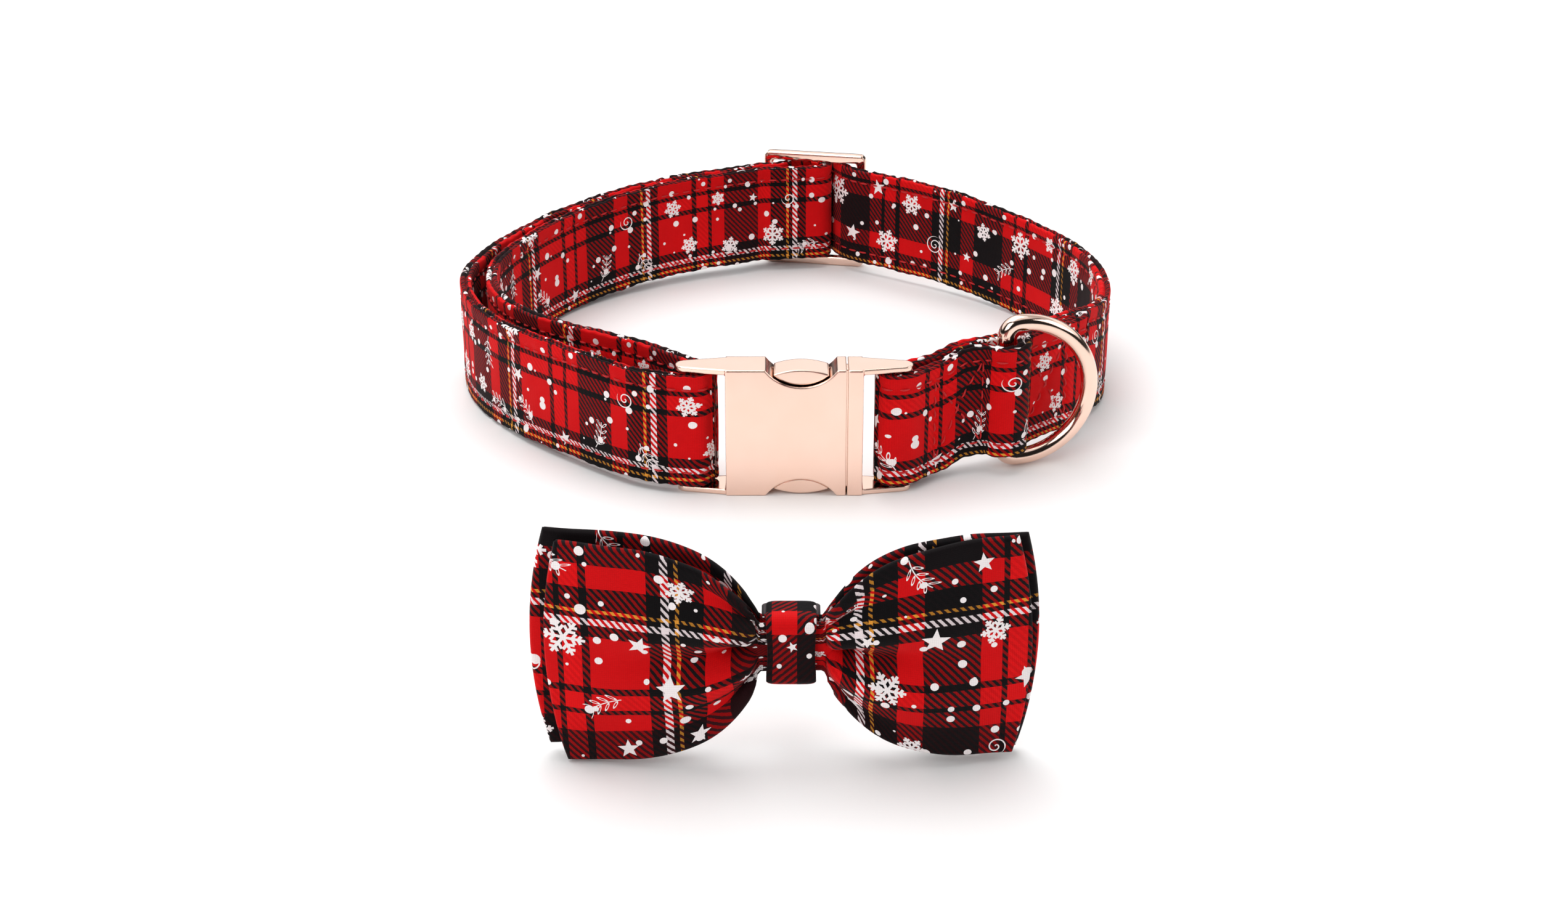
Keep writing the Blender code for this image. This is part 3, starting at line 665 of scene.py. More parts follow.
    def sprig(self) -> bpy.types.NodeTree:
        """A stem with slanted pairs of outlined leaves, repeated along it.

        Returns:
            The group's tree.
        """
        group, board, place, radius = self.motif_group(Motif.SPRIG, 3.4)
        axes = board.axes(place)
        x = axes["X"]
        y = board.minus(axes["Y"], board.times(board.times(x, x), STEM_BEND))
        off = board.math("ABSOLUTE", y)
        on_stem = board.times(board.within(y, STEM_HALF_WIDTH), board.within(x, radius))
        slanted = board.minus(x, board.times(off, LEAF_SLANT))
        in_leaf = board.minus(board.fraction(board.over(slanted, LEAF_SPACING)), 0.5)
        leaf_x = board.times(in_leaf, LEAF_SPACING)
        leaf_y = board.minus(off, LEAF_OUT)
        halves = ((leaf_x, LEAF_HALF_WIDTH), (leaf_y, LEAF_HALF_LENGTH))
        oval = board.plus(*(board.math("POWER", board.over(value, half), 2.0) for value, half in halves))
        rim = board.times(board.under(oval, 1.0), board.above(oval, LEAF_HOLLOW))
        in_reach = board.within(board.plus(slanted, 0.2), board.times(radius, 0.86))
        return group.put_out(Mask=board.most(on_stem, board.times(rim, in_reach)))

    def curl(self) -> bpy.types.NodeTree:
        """A spiral line: the turn plus the distance over the pitch stays near a whole number.

        Returns:
            The group's tree.
        """
        group, board, place, radius = self.motif_group(Motif.CURL, 2.2)
        axes, reach = board.axes(place), board.reach(place)
        angle = board.math("ARCTAN2", axes["Y"], axes["X"])
        coil = board.plus(board.over(angle, 2.0 * math.pi), board.over(reach, CURL_PITCH))
        line = board.within(board.minus(board.fraction(coil), 0.5), CURL_HALF_WIDTH)
        return group.put_out(Mask=board.times(line, board.under(reach, radius)))

    def ornaments(self, cell: bpy.types.NodeTree) -> bpy.types.NodeTree:
        """The whole white print: snow dots in two cell sizes, and one motif picked for each large cell.

        Args:
            cell: The group that splits the cloth into cells.

        Returns:
            The group's tree.
        """
        group = GroupTree("winter_print", {"Along": 0.0, "Across": 0.0, "Seed": 3.0}, {"Mask": "number"})
        board, start = group.board, group.start
        on_cloth = {name: start[name] for name in ("Along", "Across")}
        seed = start["Seed"]
        masks = []
        for number, size in enumerate(self.dot_cells):
            own = board.plus(seed, 11.0 + number)
            dots = board.group(cell, **on_cloth, Cell=size, Stray=self.dot_stray, Seed=own)
            least = self.dot_radius + self.dot_step * number
            radius = board.math("MULTIPLY_ADD", dots["Size"], self.dot_more, least)
            shown = board.under(dots["Pick"], self.dot_share)
            masks.append(board.times(board.under(board.reach(dots["Place"]), radius), shown))
        large = board.group(cell, **on_cloth, Cell=self.motif_cell, Stray=self.motif_stray, Seed=seed)
        pick, spread = large["Pick"], large["Size"]
        makers = (
            # motif, from pick, to pick, smallest radius, further radius
            (self.crystal(), 0.00, 0.36, 1.7, 2.3),
            (self.star(), 0.36, 0.62, 1.0, 1.6),
            (self.sprig(), 0.62, 0.76, 2.8, 1.2),
            (self.curl(), 0.76, 0.88, 1.5, 1.1),
        )
        for tree, low, high, smallest, further in makers:
            radius = board.math("MULTIPLY_ADD", spread, further, smallest)
            figure = board.group(tree, Place=large["Place"], Radius=radius)["Mask"]
            chosen = board.times(board.above(pick, low), board.under(pick, high))
            masks.append(board.times(figure, chosen))
        return group.put_out(Mask=board.most(*masks))


def blank_finish(name: str) -> tuple[bpy.types.Material, NodeBoard, bpy.types.NodeInputs]:
    """A new material.

    Args:
        name: Its name.

    Returns:
        The material, its board and its shader's inputs.
    """
    made = bpy.data.materials.new(name)
    made.use_nodes = True
    return made, NodeBoard(made.node_tree), made.node_tree.nodes["Principled BSDF"].inputs


@dataclass(frozen=True)
class ClothFinish:
    """A cloth material: the tartan with its print, seen through fine threads.

    Attributes:
        name: The material's name.
        seed: Which scattering of the print it shows.
        bump_mm: How deep the threads are.
    """

    name: str
    seed: float
    bump_mm: float = 0.05

    def build(self, groups: dict[str, bpy.types.NodeTree]) -> bpy.types.Material:
        """Makes the material.

        Args:
            groups: The cloth's node groups by name.

        Returns:
            The material.
        """
        made, board, shader = blank_finish(self.name)
        flat = board.axes(board.add("ShaderNodeUVMap", uv_map=CLOTH_MAP).outputs[0])
        on_cloth = {"Along": board.times(flat["X"], 1.0 / MM), "Across": board.times(flat["Y"], 1.0 / MM)}
        tartan = board.group(groups["tartan"], **on_cloth)
        winter = board.group(groups["ornaments"], **on_cloth, Seed=self.seed)
        threads = board.group(groups["threads"], **on_cloth)
        printed = board.mix(winter["Mask"], tartan["Colour"], PRINT_WHITE)
        relief = {"Height": threads["Height"], "Distance": self.bump_mm * MM, "Strength": 0.6}
        # The threads' tone holds painted shade on the weave as well as uneven patches.
        board.feed(shader["Base Color"], board.mix(1.0, printed, board.grey(threads["Tone"]), "MULTIPLY"))
        board.feed(shader["Normal"], board.add("ShaderNodeBump", relief).outputs[0])
        shader["Roughness"].default_value = 0.82
        shader["Sheen Weight"].default_value = 0.03
        shader["Sheen Roughness"].default_value = 0.5
        shader["Specular IOR Level"].default_value = 0.12
        return made


@dataclass(frozen=True)
class ThreadFinish:
    """Sewing thread: red, darker and brighter by turns in soft noise, as painted shade and painted highlight
    on its twist.
    """

    name: str = "sewing_thread"
    twist_scale: float = 2600.0

    def build(self) -> bpy.types.Material:
        """Makes the material.

        Returns:
            The material.
        """
        made, board, shader = blank_finish(self.name)
        painted_twist_shading = board.noise(board.solid_place(), self.twist_scale)
        # Painted shade and painted highlight on the thread's twist, scattered by noise.
        board.feed(shader["Base Color"], board.mix(painted_twist_shading, THREAD_TWIST_PAINTED_SHADE, THREAD_TWIST_PAINTED_HIGHLIGHT))
        shader["Roughness"].default_value = 0.6
        return made


@dataclass(frozen=True)
class ElasticFinish:
    """Ribbed elastic: dark cords side by side along the loop, each paler on its crest as a painted
    highlight.
    """

    name: str = "ribbed_elastic"
    rib: float = 0.7 * MM
    rib_depth: float = 0.12 * MM

    def build(self) -> bpy.types.Material:
        """Makes the material.

        Returns:
            The material.
        """
        made, board, shader = blank_finish(self.name)
        across = board.axes(board.solid_place())["X"]
        ridge = board.math("SINE", board.times(across, 2.0 * math.pi / self.rib))
        shade = board.math("MULTIPLY_ADD", ridge, 0.5, 0.5)
        relief = board.add("ShaderNodeBump", {"Height": shade, "Distance": self.rib_depth})
        # The cords are pale on their crests and dark in their grooves, as the bump is: a painted highlight
        # over the elastic's dark colour.
        board.feed(shader["Base Color"], board.mix(shade, ELASTIC_DARK, ELASTIC_RIB_PAINTED_HIGHLIGHT))
        board.feed(shader["Normal"], relief.outputs[0])
        shader["Roughness"].default_value = 0.7
        return made


@dataclass(frozen=True)
class PolishedFinish:
    """Polished rose gold plating: a mirror with faint cloudy marks from handling in its roughness, and
    rounded rims. The same clouds deepen the colour a little as painted dimmer patches of reflection.

    Attributes:
        name: The material's name.
        cloud_scale: How fine the marks and the painted dimmer patches are.
        least_roughness: The roughness between the marks.
        more_roughness: What the marks add to it.
        rounding: How far from an edge the shading is rounded.
        rounding_samples: How finely that is worked out.
    """

    name: str = "rose_gold"
    cloud_scale: float = 160.0
    least_roughness: float = 0.05
    more_roughness: float = 0.09
    rounding: float = 0.55 * MM
    rounding_samples: int = 8

    def build(self) -> bpy.types.Material:
        """Makes the material.

        Returns:
            The material.
        """
        made, board, shader = blank_finish(self.name)
        marks_and_dim_reflections = board.noise(board.solid_place(), self.cloud_scale, 4.0)
        marks = board.math("MULTIPLY_ADD", marks_and_dim_reflections, self.more_roughness, self.least_roughness)
        rounded = board.add("ShaderNodeBevel", {"Radius": self.rounding}, samples=self.rounding_samples)
        # The clouds deepen the colour a little: painted dimmer patches in the reflection. In the roughness
        # they are handling marks.
        board.feed(shader["Base Color"], board.mix(marks_and_dim_reflections, ROSE_GOLD, ROSE_GOLD_PAINTED_DIM_REFLECTION))
        board.feed(shader["Roughness"], marks)
        board.feed(shader["Normal"], rounded.outputs["Normal"])
        shader["Metallic"].default_value = 1.0
        return made


@dataclass(frozen=True)
class PaperFinish:
    """The studio's pale paper: almost white, with the faintest grain."""

    name: str = "pale_paper"
    grain_scale: float = 30.0

    def build(self) -> bpy.types.Material:
        """Makes the material.

        Returns:
            The material.
        """
        made, board, shader = blank_finish(self.name)
        grain = board.noise(board.solid_place(), self.grain_scale)
        board.feed(shader["Base Color"], board.mix(grain, PAPER_COOL, PAPER_WARM))
        shader["Roughness"].default_value = 0.6
        return made


# Meshes


def set_down(name: str, data: bpy.types.ID) -> bpy.types.Object:
    """Puts a mesh, a light or a camera into the scene.

    Args:
        name: The object's name.
        data: What it holds.

    Returns:
        The object, at the origin.
    """
    made = bpy.data.objects.new(name, data)
    bpy.context.scene.collection.objects.link(made)
    return made


@contextmanager
def opened(mesh: bpy.types.Mesh) -> Iterator[bmesh.types.BMesh]:
    """A mesh held open for edits, which go back into it at the end.

    Args:
        mesh: The mesh.

    Yields:
        The open mesh.
    """
    shape = bmesh.new()
    shape.from_mesh(mesh)
    yield shape
    shape.to_mesh(mesh)
    shape.free()


def unit(vectors: np.ndarray) -> np.ndarray:
    """Each vector over its own length."""
    return vectors / np.linalg.norm(vectors, axis=-1, keepdims=True)


def travelled(line: np.ndarray) -> np.ndarray:
    """How far each point of a line lies along it: the sum of the steps up to it."""
    return np.concatenate([[0.0], np.cumsum(np.linalg.norm(np.diff(line, axis=0), axis=1))])


def grid_faces(rows: int, columns: int, around: bool) -> np.ndarray:
    """The faces of a grid of points: each lies between four neighbours.

    Args:
        rows: How many rows of points there are.
        columns: How many points a row has.
        around: Whether the last column joins the first.

    Returns:
        Faces by 4 point numbers.
    """
    face_columns = columns if around else columns - 1
    row, column = np.meshgrid(np.arange(rows - 1), np.arange(face_columns), indexing="ij")
    near, far = row * columns, (row + 1) * columns
    after = (column + 1) % columns
    return np.stack([near + column, near + after, far + after, far + column], axis=-1).reshape(-1, 4)


def grid_object(
    name: str,
    points: np.ndarray,
    uv_left: np.ndarray | None = None,
    uv_right: np.ndarray | None = None,
    around: bool = False,
    capped: bool = False,
) -> bpy.types.Object:
    """A mesh from a grid of points: each four neighbours make one face.

    Args:
        name: The object's name.
        points: Rows by columns by 3.
        uv_left: The flat-cloth place at the near side of each column of faces, rows by face columns by 2.
        uv_right: The same at the far side of each column of faces.
        around: Whether the last column joins the first.
        capped: Whether the first and last rows, which then are closed rings, get a flat face.

    Returns:
        The object, with its place in its mesh.
    """
    rows, columns = points.shape[:2]
    faces = grid_faces(rows, columns, around).tolist()
    if capped:
        faces.append(list(range(columns))[::-1])
        faces.append([(rows - 1) * columns + index for index in range(columns)])
    mesh = bpy.data.meshes.new(name)
    mesh.from_pydata(points.reshape(-1, 3).tolist(), [], faces)
    if uv_left is not None:
        corners = np.stack([uv_left[:-1], uv_right[:-1], uv_right[1:], uv_left[1:]], axis=2).reshape(-1, 2)
        if capped:
            corners = np.concatenate([corners, uv_left[0][::-1], uv_left[-1]])
        layer = mesh.uv_layers.new(name=CLOTH_MAP)
        layer.data.foreach_set("uv", corners.astype(np.float32).ravel())
    mesh.validate()
    mesh.update()
    return set_down(name, mesh)


def face_outwards(piece: bpy.types.Object, merge: float = 1e-7) -> bpy.types.Object:
    """Merges doubled points, turns every face outwards and shades the piece smooth.

    Args:
        piece: A closed mesh.
        merge: How close two points are made one.

    Returns:
        The same piece.
    """
    with opened(piece.data) as shape:
        bmesh.ops.remove_doubles(shape, verts=shape.verts, dist=merge)
        bmesh.ops.dissolve_degenerate(shape, edges=shape.edges, dist=merge)
        bmesh.ops.recalc_face_normals(shape, faces=shape.faces)
    piece.data.shade_smooth()
    return piece


def dress(piece: bpy.types.Object, material: bpy.types.Material, slot: str, body: str) -> bpy.types.Object:
    """Gives a piece its material and the body that it rides on.

    Args:
        piece: The finished piece.
        material: Its material.
        slot: The record's slot; not used.
        body: The body's name.

    Returns:
        The same piece.
    """
    piece.data.materials.clear()
    piece.data.materials.append(material)
    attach(piece, body)
    log.info("%s: %d points, on %s", piece.name, len(piece.data.vertices), body)
    return piece


def ripple(along: np.ndarray, across: np.ndarray, seed: int, length: float, waves: int = 5) -> np.ndarray:
    """A smooth uneven surface between about -1 and 1.

    It is a sum of sines, whose lengths, slants and phases are drawn once from the seed.

    Args:
        along: Places along, in metres.
        across: Places across, in metres.
        seed: Which draw.
        length: The typical wave's length, in metres.
        waves: How many sines.

    Returns:
        The heights, shaped as the places are.
    """
    draw = np.random.default_rng(seed)
    pitch = 2.0 * math.pi / (length * draw.uniform(0.6, 1.6, waves))
    slant = draw.uniform(-0.6, 0.6, waves)
    phase = draw.uniform(0.0, 2.0 * math.pi, waves)
    total = np.zeros(np.broadcast(along, across).shape)
    for wave in range(waves):
        total = total + np.sin(pitch[wave] * (along + slant[wave] * across) + phase[wave])
    return total / math.sqrt(2.0 * waves)


# The strap's middle line, read from its solid


def triangles_of(node: bpy.types.Object) -> np.ndarray:
    """A node's triangles.

    Args:
        node: A node whose mesh is triangles.

    Returns:
        Triangles by 3 corners by 3.
    """
    mesh = node.data
    mesh.calc_loop_triangles()
    points = np.empty(len(mesh.vertices) * 3)
    mesh.vertices.foreach_get("co", points)
    corners = np.empty(len(mesh.loop_triangles) * 3, np.int32)
    mesh.loop_triangles.foreach_get("vertices", corners)
    return points.reshape(-1, 3)[corners.reshape(-1, 3)]


def level_outline(triangles: np.ndarray, height: float) -> np.ndarray:
    """The closed outline that a level plane cuts from a solid.

    Each triangle that the plane crosses gives one short edge, whose ends divide two of its sides where they
    meet the plane. The edges are strung together by going from each end to the nearest end of another.

    Args:
        triangles: Triangles by 3 corners by 3.
        height: The plane's height.

    Returns:
        The outline's points in X and Y, anticlockwise.
    """
    above = triangles[:, :, 2] > height
    crossed = above.any(axis=1) & ~above.all(axis=1)
    corners, above = triangles[crossed], above[crossed]
    alone = np.where(above.sum(axis=1) == 1, above.argmax(axis=1), (~above).argmax(axis=1))
    order = (alone[:, None] + np.arange(3)) % 3
    corners = np.take_along_axis(corners, order[:, :, None], axis=1)
    rise = corners[:, 1:, 2] - corners[:, :1, 2]
    share = (height - corners[:, :1, 2]) / rise
    run = corners[:, 1:, :2] - corners[:, :1, :2]
    ends = (corners[:, :1, :2] + share[:, :, None] * run).reshape(-1, 2)
    apart = np.linalg.norm(ends[:, None] - ends[None], axis=2)
    mate = np.arange(len(ends)) ^ 1
    np.fill_diagonal(apart, np.inf)
    apart[np.arange(len(ends)), mate] = np.inf
    nearest = apart.argmin(axis=1)
    strung = [0]
    while len(strung) < len(ends) // 2:
        strung.append(int(nearest[mate[strung[-1]]]))
        if strung[-1] == 0:
            strung.pop()
            break
    outline = ends[strung]
    x, y = outline.T
    area = np.sum(x * np.roll(y, -1) - y * np.roll(x, -1))
    return outline if area > 0 else outline[::-1]


def resampled(line: np.ndarray, step: float) -> np.ndarray:
    """A line's points taken again at even steps along it, each a straight share between two old ones.

    Args:
        line: Points by 2 or 3.
        step: The wanted distance.

    Returns:
        The new points, with the old ends.
    """
    along = travelled(line)
    wanted = np.linspace(0.0, along[-1], max(int(round(along[-1] / step)), 2) + 1)
    return np.stack([np.interp(wanted, along, line[:, axis]) for axis in range(line.shape[1])], axis=1)


def softened(line: np.ndarray, spread: float) -> np.ndarray:
    """A line averaged with its neighbours under a bell curve.

    The line goes on past each end as its own image turned about that end, so the ends stay.

    Args:
        line: Evenly spaced points.
        spread: The bell's width, in points.

    Returns:
        The softened points.
    """
    reach = int(math.ceil(3 * spread))
    bell = np.exp(-0.5 * (np.arange(-reach, reach + 1) / spread) ** 2)
    bell = bell / bell.sum()
    before = 2 * line[:1] - line[reach:0:-1]
    after = 2 * line[-1:] - line[-2 : -reach - 2 : -1]
    padded = np.concatenate([before, line, after])
    return np.stack([np.convolve(padded[:, axis], bell, "valid") for axis in range(line.shape[1])], axis=1)


@dataclass
class StrapLine:
    """A strap's middle line with what is needed to place cloth on it.

    Attributes:
        points: Its points.
        along: How far each lies along it.
        outward: The level direction to the strap's outer face at each.
        width: The strap's width.
        reads_right: 1 if the line runs to the right for who faces the outer side, else -1.
    """

    points: np.ndarray
    along: np.ndarray
    outward: np.ndarray
    width: float
    reads_right: float

    @property
    def length(self) -> float:
        """The line's whole length."""
        return float(self.along[-1])

    def at(self, along: np.ndarray, off: np.ndarray, up: np.ndarray) -> np.ndarray:
        """Places in space: the line's point, plus off times its outward side, plus up times Z.

        Args:
            along: Distances along the line.
            off: Distances outwards from the middle.
            up: Heights above the middle.

        Returns:
            Places, with a last axis of 3.
        """
        along, off, up = np.broadcast_arrays(along, off, up)
        middle = np.stack([np.interp(along, self.along, self.points[:, axis]) for axis in range(3)], axis=-1)
        side = np.stack([np.interp(along, self.along, self.outward[:, axis]) for axis in range(2)], axis=-1)
        level = np.concatenate([unit(side), np.zeros(side.shape[:-1] + (1,))], axis=-1)
        return middle + off[..., None] * level + up[..., None] * np.array([0.0, 0.0, 1.0])


@dataclass(frozen=True)
class LineReader:
    """Finds a strap's middle line in its solid.

    A level cut gives a long thin outline. Its two ends are where it turns the most within a few millimetres,
    which splits it into two sides. The middle lies halfway from one side to the nearest point of the other.

    Attributes:
        fine: The step of the outline.
        step: The step of the finished line.
        spread: How far the line is softened.
        end_turn: The length within which the outline turns round an end.
        ends_apart: How many such lengths lie between the two ends at least.
        end_trim: What is left out beside each end.
        height_reach: How far an edge's heights count.
    """

    fine: float = 0.1 * MM
    step: float = 0.45 * MM
    spread: float = 0.7 * MM
    end_turn: float = 3.8 * MM
    ends_apart: int = 4
    end_trim: float = 2.0 * MM
    height_reach: float = 2.5 * MM

    def read(self, node: bpy.types.Object, centre: tuple[float, float]) -> StrapLine:
        """Reads one strap node.

        Args:
            node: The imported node.
            centre: A point inside the collar, which tells the outer side from the inner one.

        Returns:
            Its line, from the end nearer the front.
        """
        triangles = triangles_of(node)
        low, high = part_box(node.name)
        outline = level_outline(triangles, float(low.z + high.z) / 2)
        ring = resampled(np.vstack([outline, outline[:1]]), self.fine)[:-1]
        first, second = self.ends(ring)
        one = np.roll(ring, -first, axis=0)[: (second - first) % len(ring) + 1]
        other = np.roll(ring, -second, axis=0)[: (first - second) % len(ring) + 1]
        trim = int(self.end_trim / self.fine)
        inner_part = one[trim:-trim:3]
        apart = np.linalg.norm(inner_part[:, None] - other[None, ::2], axis=2)
        middle = (inner_part + other[::2][apart.argmin(axis=1)]) / 2
        plan = resampled(np.vstack([ring[first], middle, ring[second]]), self.step)
        plan = softened(plan, self.spread / self.step)
        if plan[0, 1] > plan[-1, 1]:
            plan = plan[::-1]
        return self.finished(plan, triangles, np.array(centre))

    def ends(self, ring: np.ndarray) -> tuple[int, int]:
        """The outline's two ends: the places with the largest turn within a short window.

        Args:
            ring: The outline at fine even steps, anticlockwise.

        Returns:
            The two places in the ring, in order.
        """
        steps = np.roll(ring, -1, axis=0) - ring
        heading = np.arctan2(steps[:, 1], steps[:, 0])
        change = np.angle(np.exp(1j * (np.roll(heading, -1) - heading)))
        window = int(self.end_turn / self.fine)
        doubled = np.concatenate([change, change, change])
        total = np.concatenate([[0.0], np.cumsum(doubled)])
        places = np.arange(len(ring)) + len(ring)
        turned = total[places + window // 2] - total[places - window // 2]
        first = int(turned.argmax())
        gap = np.abs((np.arange(len(ring)) - first + len(ring) // 2) % len(ring) - len(ring) // 2)
        second = int(np.where(gap > self.ends_apart * window, turned, -np.inf).argmax())
        return min(first, second), max(first, second)

    def finished(self, plan: np.ndarray, triangles: np.ndarray, centre: np.ndarray) -> StrapLine:
        """Adds heights and sides to the plan line.

        The height is the mean of the upper and lower edges' heights, weighted by a bell of the distance.

        Args:
            plan: The line's points in X and Y.
            triangles: The solid's triangles.
            centre: A point inside the collar.

        Returns:
            The finished line.
        """
        normals = np.cross(triangles[:, 1] - triangles[:, 0], triangles[:, 2] - triangles[:, 0])
        upright = normals[:, 2] / np.maximum(np.linalg.norm(normals, axis=1), 1e-15)
        edges = []
        for facing in (upright > 0.9, upright < -0.9):
            rim = triangles[facing].reshape(-1, 3)
            apart = np.linalg.norm(plan[:, None] - rim[None, :, :2], axis=2)
            nearest = apart.min(axis=1, keepdims=True)
            weight = np.exp(-((apart - nearest) / self.height_reach) ** 2)
            edges.append((weight * rim[None, :, 2]).sum(axis=1) / weight.sum(axis=1))
        points = np.column_stack([plan, (edges[0] + edges[1]) / 2])
        width = float(np.median(edges[0] - edges[1]))
        ahead = unit(np.gradient(plan, axis=0))
        side = np.column_stack([ahead[:, 1], -ahead[:, 0]])
        sign = 1.0 if np.sum(side * (plan - centre)) > 0 else -1.0
        outward = side * sign
        # Facing the outer side, the reader's right is Z crossed with the outward side.
        right = np.column_stack([-outward[:, 1], outward[:, 0]])
        reads_right = 1.0 if np.sum(right * ahead) > 0 else -1.0
        return StrapLine(points, travelled(points), outward, width, reads_right)


# Strap


@dataclass(frozen=True)
class Seam:
    """A straight row of stitches on one face, from one place to another, each along and up in metres."""

    side: Side
    start: tuple[float, float]
    end: tuple[float, float]

    @property
    def length(self) -> float:
        """The seam's length."""
        return math.dist(self.start, self.end)


@dataclass(frozen=True)
class SettPlace:
    """How the sett lies on one face of the strap.

    Attributes:
        white_at: Where an upright white line lies along the strap, in millimetres.
        white_down: How far under the upper edge the level white line lies, in millimetres.
        turned: Whether the cloth lies half a turn round, with yellow left of white and white above yellow.
    """

    white_at: float
    white_down: float
    turned: bool = True


@dataclass
class StrapRun:
    """One run of the covered strap: two plies with rolled edges, a groove between them, and topstitching.

    Attributes:
        node: The solid that it stands for.
        outer: How the sett lies on the outer ply.
        inner: The same on the inner ply.
        seed: Which unevenness it has.
        more_seams: Its seams beside the topstitching.
        seam_depth: How deep a row of stitches pulls the face in.
        seam_spread: How far to its sides it does so.
        stitch: The length of a stitch.
        stitch_gap: The length between two stitches.
        thread: The thread's half thickness.
        wave: How high the face's waves are.
        crimp: How high the edge's small waves are, one to a stitch.
        sway: How high the edge's long waves are.
        edge_drop: How far the edge is drawn in.
        roll_share: How much of the dents and waves goes on round the rolls.
        pucker: Half of the share by which a dent is shallower between two stitches.
        stitch_rise: How far a stitch's middle rises, in its half thicknesses.
        stitch_sink: How far its ends lie in the cloth, in the same.
    """

    node: str
    outer: SettPlace
    inner: SettPlace
    seed: int
    more_seams: tuple[Seam, ...] = ()
    thickness: float = 2.8 * MM
    groove: float = 0.16 * MM
    edge_to_seam: float = 3.2 * MM
    seam_depth: float = 0.42 * MM
    seam_spread: float = 0.80 * MM
    stitch: float = 2.5 * MM
    stitch_gap: float = 0.55 * MM
    thread: float = 0.25 * MM
    wave: float = 0.07 * MM
    wave_length: float = 9.0 * MM
    crimp: float = 0.10 * MM
    sway: float = 0.16 * MM
    sway_length: float = 14.0 * MM
    edge_drop: float = 0.12 * MM
    roll_share: float = 0.35
    pucker: float = 0.25
    stitch_rise: float = 1.3
    stitch_sink: float = 0.65
    roll_steps: int = 9
    face_steps: int = 37

    @property
    def pitch(self) -> float:
        """From the start of one stitch to the next."""
        return self.stitch + self.stitch_gap

    def topstitching(self, line: StrapLine) -> tuple[Seam, ...]:
        """The two rows along each face, set in from the edges and from the ends.

        Args:
            line: The strap's middle line.

        Returns:
            Four seams.
        """
        up = line.width / 2 - self.edge_to_seam
        ends = (self.edge_to_seam / 2, line.length - self.edge_to_seam / 2)
        return tuple(
            Seam(side, (ends[0], sign * up), (ends[1], sign * up)) for side in Side for sign in (1.0, -1.0)
        )

    def dent(self, along: np.ndarray, up: np.ndarray, side: Side, seams: tuple[Seam, ...]) -> np.ndarray:
        """How deep the stitches pull the face in.

        Each seam's dent is a bell of the distance to it, with a cosine along it that puckers at each stitch.

        Args:
            along: Places along the strap.
            up: Heights above its middle.
            side: Which face.
            seams: The rows of stitches.

        Returns:
            Depths, shaped as the places are.
        """
        depth = np.zeros(np.broadcast(along, up).shape)
        for seam in (row for row in seams if row.side is side):
            start, way = np.array(seam.start), np.array(seam.end) - np.array(seam.start)
            share = ((along - start[0]) * way[0] + (up - start[1]) * way[1]) / float(way @ way)
            share = np.clip(share, 0.0, 1.0)
            apart = np.hypot(along - start[0] - share * way[0], up - start[1] - share * way[1])
            wave = np.cos(2.0 * math.pi * share * seam.length / self.pitch)
            pucker = 1.0 - self.pucker + self.pucker * wave
            depth = np.maximum(depth, self.seam_depth * pucker * np.exp(-((apart / self.seam_spread) ** 2)))
        return depth

    def face_off(self, along: np.ndarray, up: np.ndarray, side: Side, seams: tuple[Seam, ...]) -> np.ndarray:
        """The face's distance from the strap's middle: half the thickness, less the dents, with waves."""
        waves = self.wave * ripple(along, up, self.seed + (side is Side.INNER), self.wave_length)
        return self.thickness / 2 - self.dent(along, up, side, seams) + waves - self.wave

    def ply(self, line: StrapLine, side: Side, seams: tuple[Seam, ...]) -> tuple[np.ndarray, np.ndarray]:
        """One ply: its profile is a half-round roll, the face, and another roll, carried along the strap.

        The face carries the dents and waves, which fade out over the rolls. The rolls rise and fall by a
        sine at the stitches' pitch and by long uneven waves.

        Args:
            line: The strap's middle line.
            side: Which ply.
            seams: The rows of stitches.

        Returns:
            Places as rows by columns by 3, and flat-cloth places as rows by columns by 2.
        """
        roll = (self.thickness / 2 - self.groove / 2) / 2
        centre = self.groove / 2 + roll
        top = np.linspace(math.pi, 0.0, self.roll_steps)
        bottom = np.linspace(0.0, -math.pi, self.roll_steps)
        half = line.width / 2
        inner_half = half - roll
        face_up = np.linspace(inner_half, -half + roll, self.face_steps)[1:-1]
        face_off = np.full(face_up.shape, self.thickness / 2)
        off = np.concatenate([centre + roll * np.cos(top), face_off, centre + roll * np.cos(bottom)])
        up = np.concatenate([inner_half + roll * np.sin(top), face_up, -half + roll + roll * np.sin(bottom)])
        down = np.concatenate([roll - roll * top, half - face_up, 2 * half - roll - roll * bottom])
        along = line.along[:, None]
        on_face = np.clip((half - roll * 0.2 - np.abs(up)) / (roll * 0.8), 0.0, 1.0)
        seamed = self.face_off(along, up[None], side, seams) - self.thickness / 2
        crimped = self.crimp * np.sin(2.0 * math.pi * along / self.pitch + 1.3)
        swayed = self.sway * ripple(along, up[None] * 0.0, self.seed + 7, self.sway_length)
        lifted = np.sign(up)[None] * (1.0 - on_face)[None] * (crimped + swayed - self.edge_drop)
        outer_half = np.where(off > centre, 1.0, 0.0)[None]
        bulged = off[None] + seamed * outer_half * np.maximum(on_face, self.roll_share)[None]
        places = line.at(along, side.value * bulged, up[None] + lifted)
        laid = self.outer if side is Side.OUTER else self.inner
        way = -1.0 if laid.turned else 1.0
        reads = way * line.reads_right * side.value
        white = Sett().white_middle * MM
        u = white + reads * (along - laid.white_at * MM) + 0.0 * down[None]
        v = white - way * (down[None] - laid.white_down * MM) + 0.0 * along
        return places, np.stack([u, v], axis=-1)

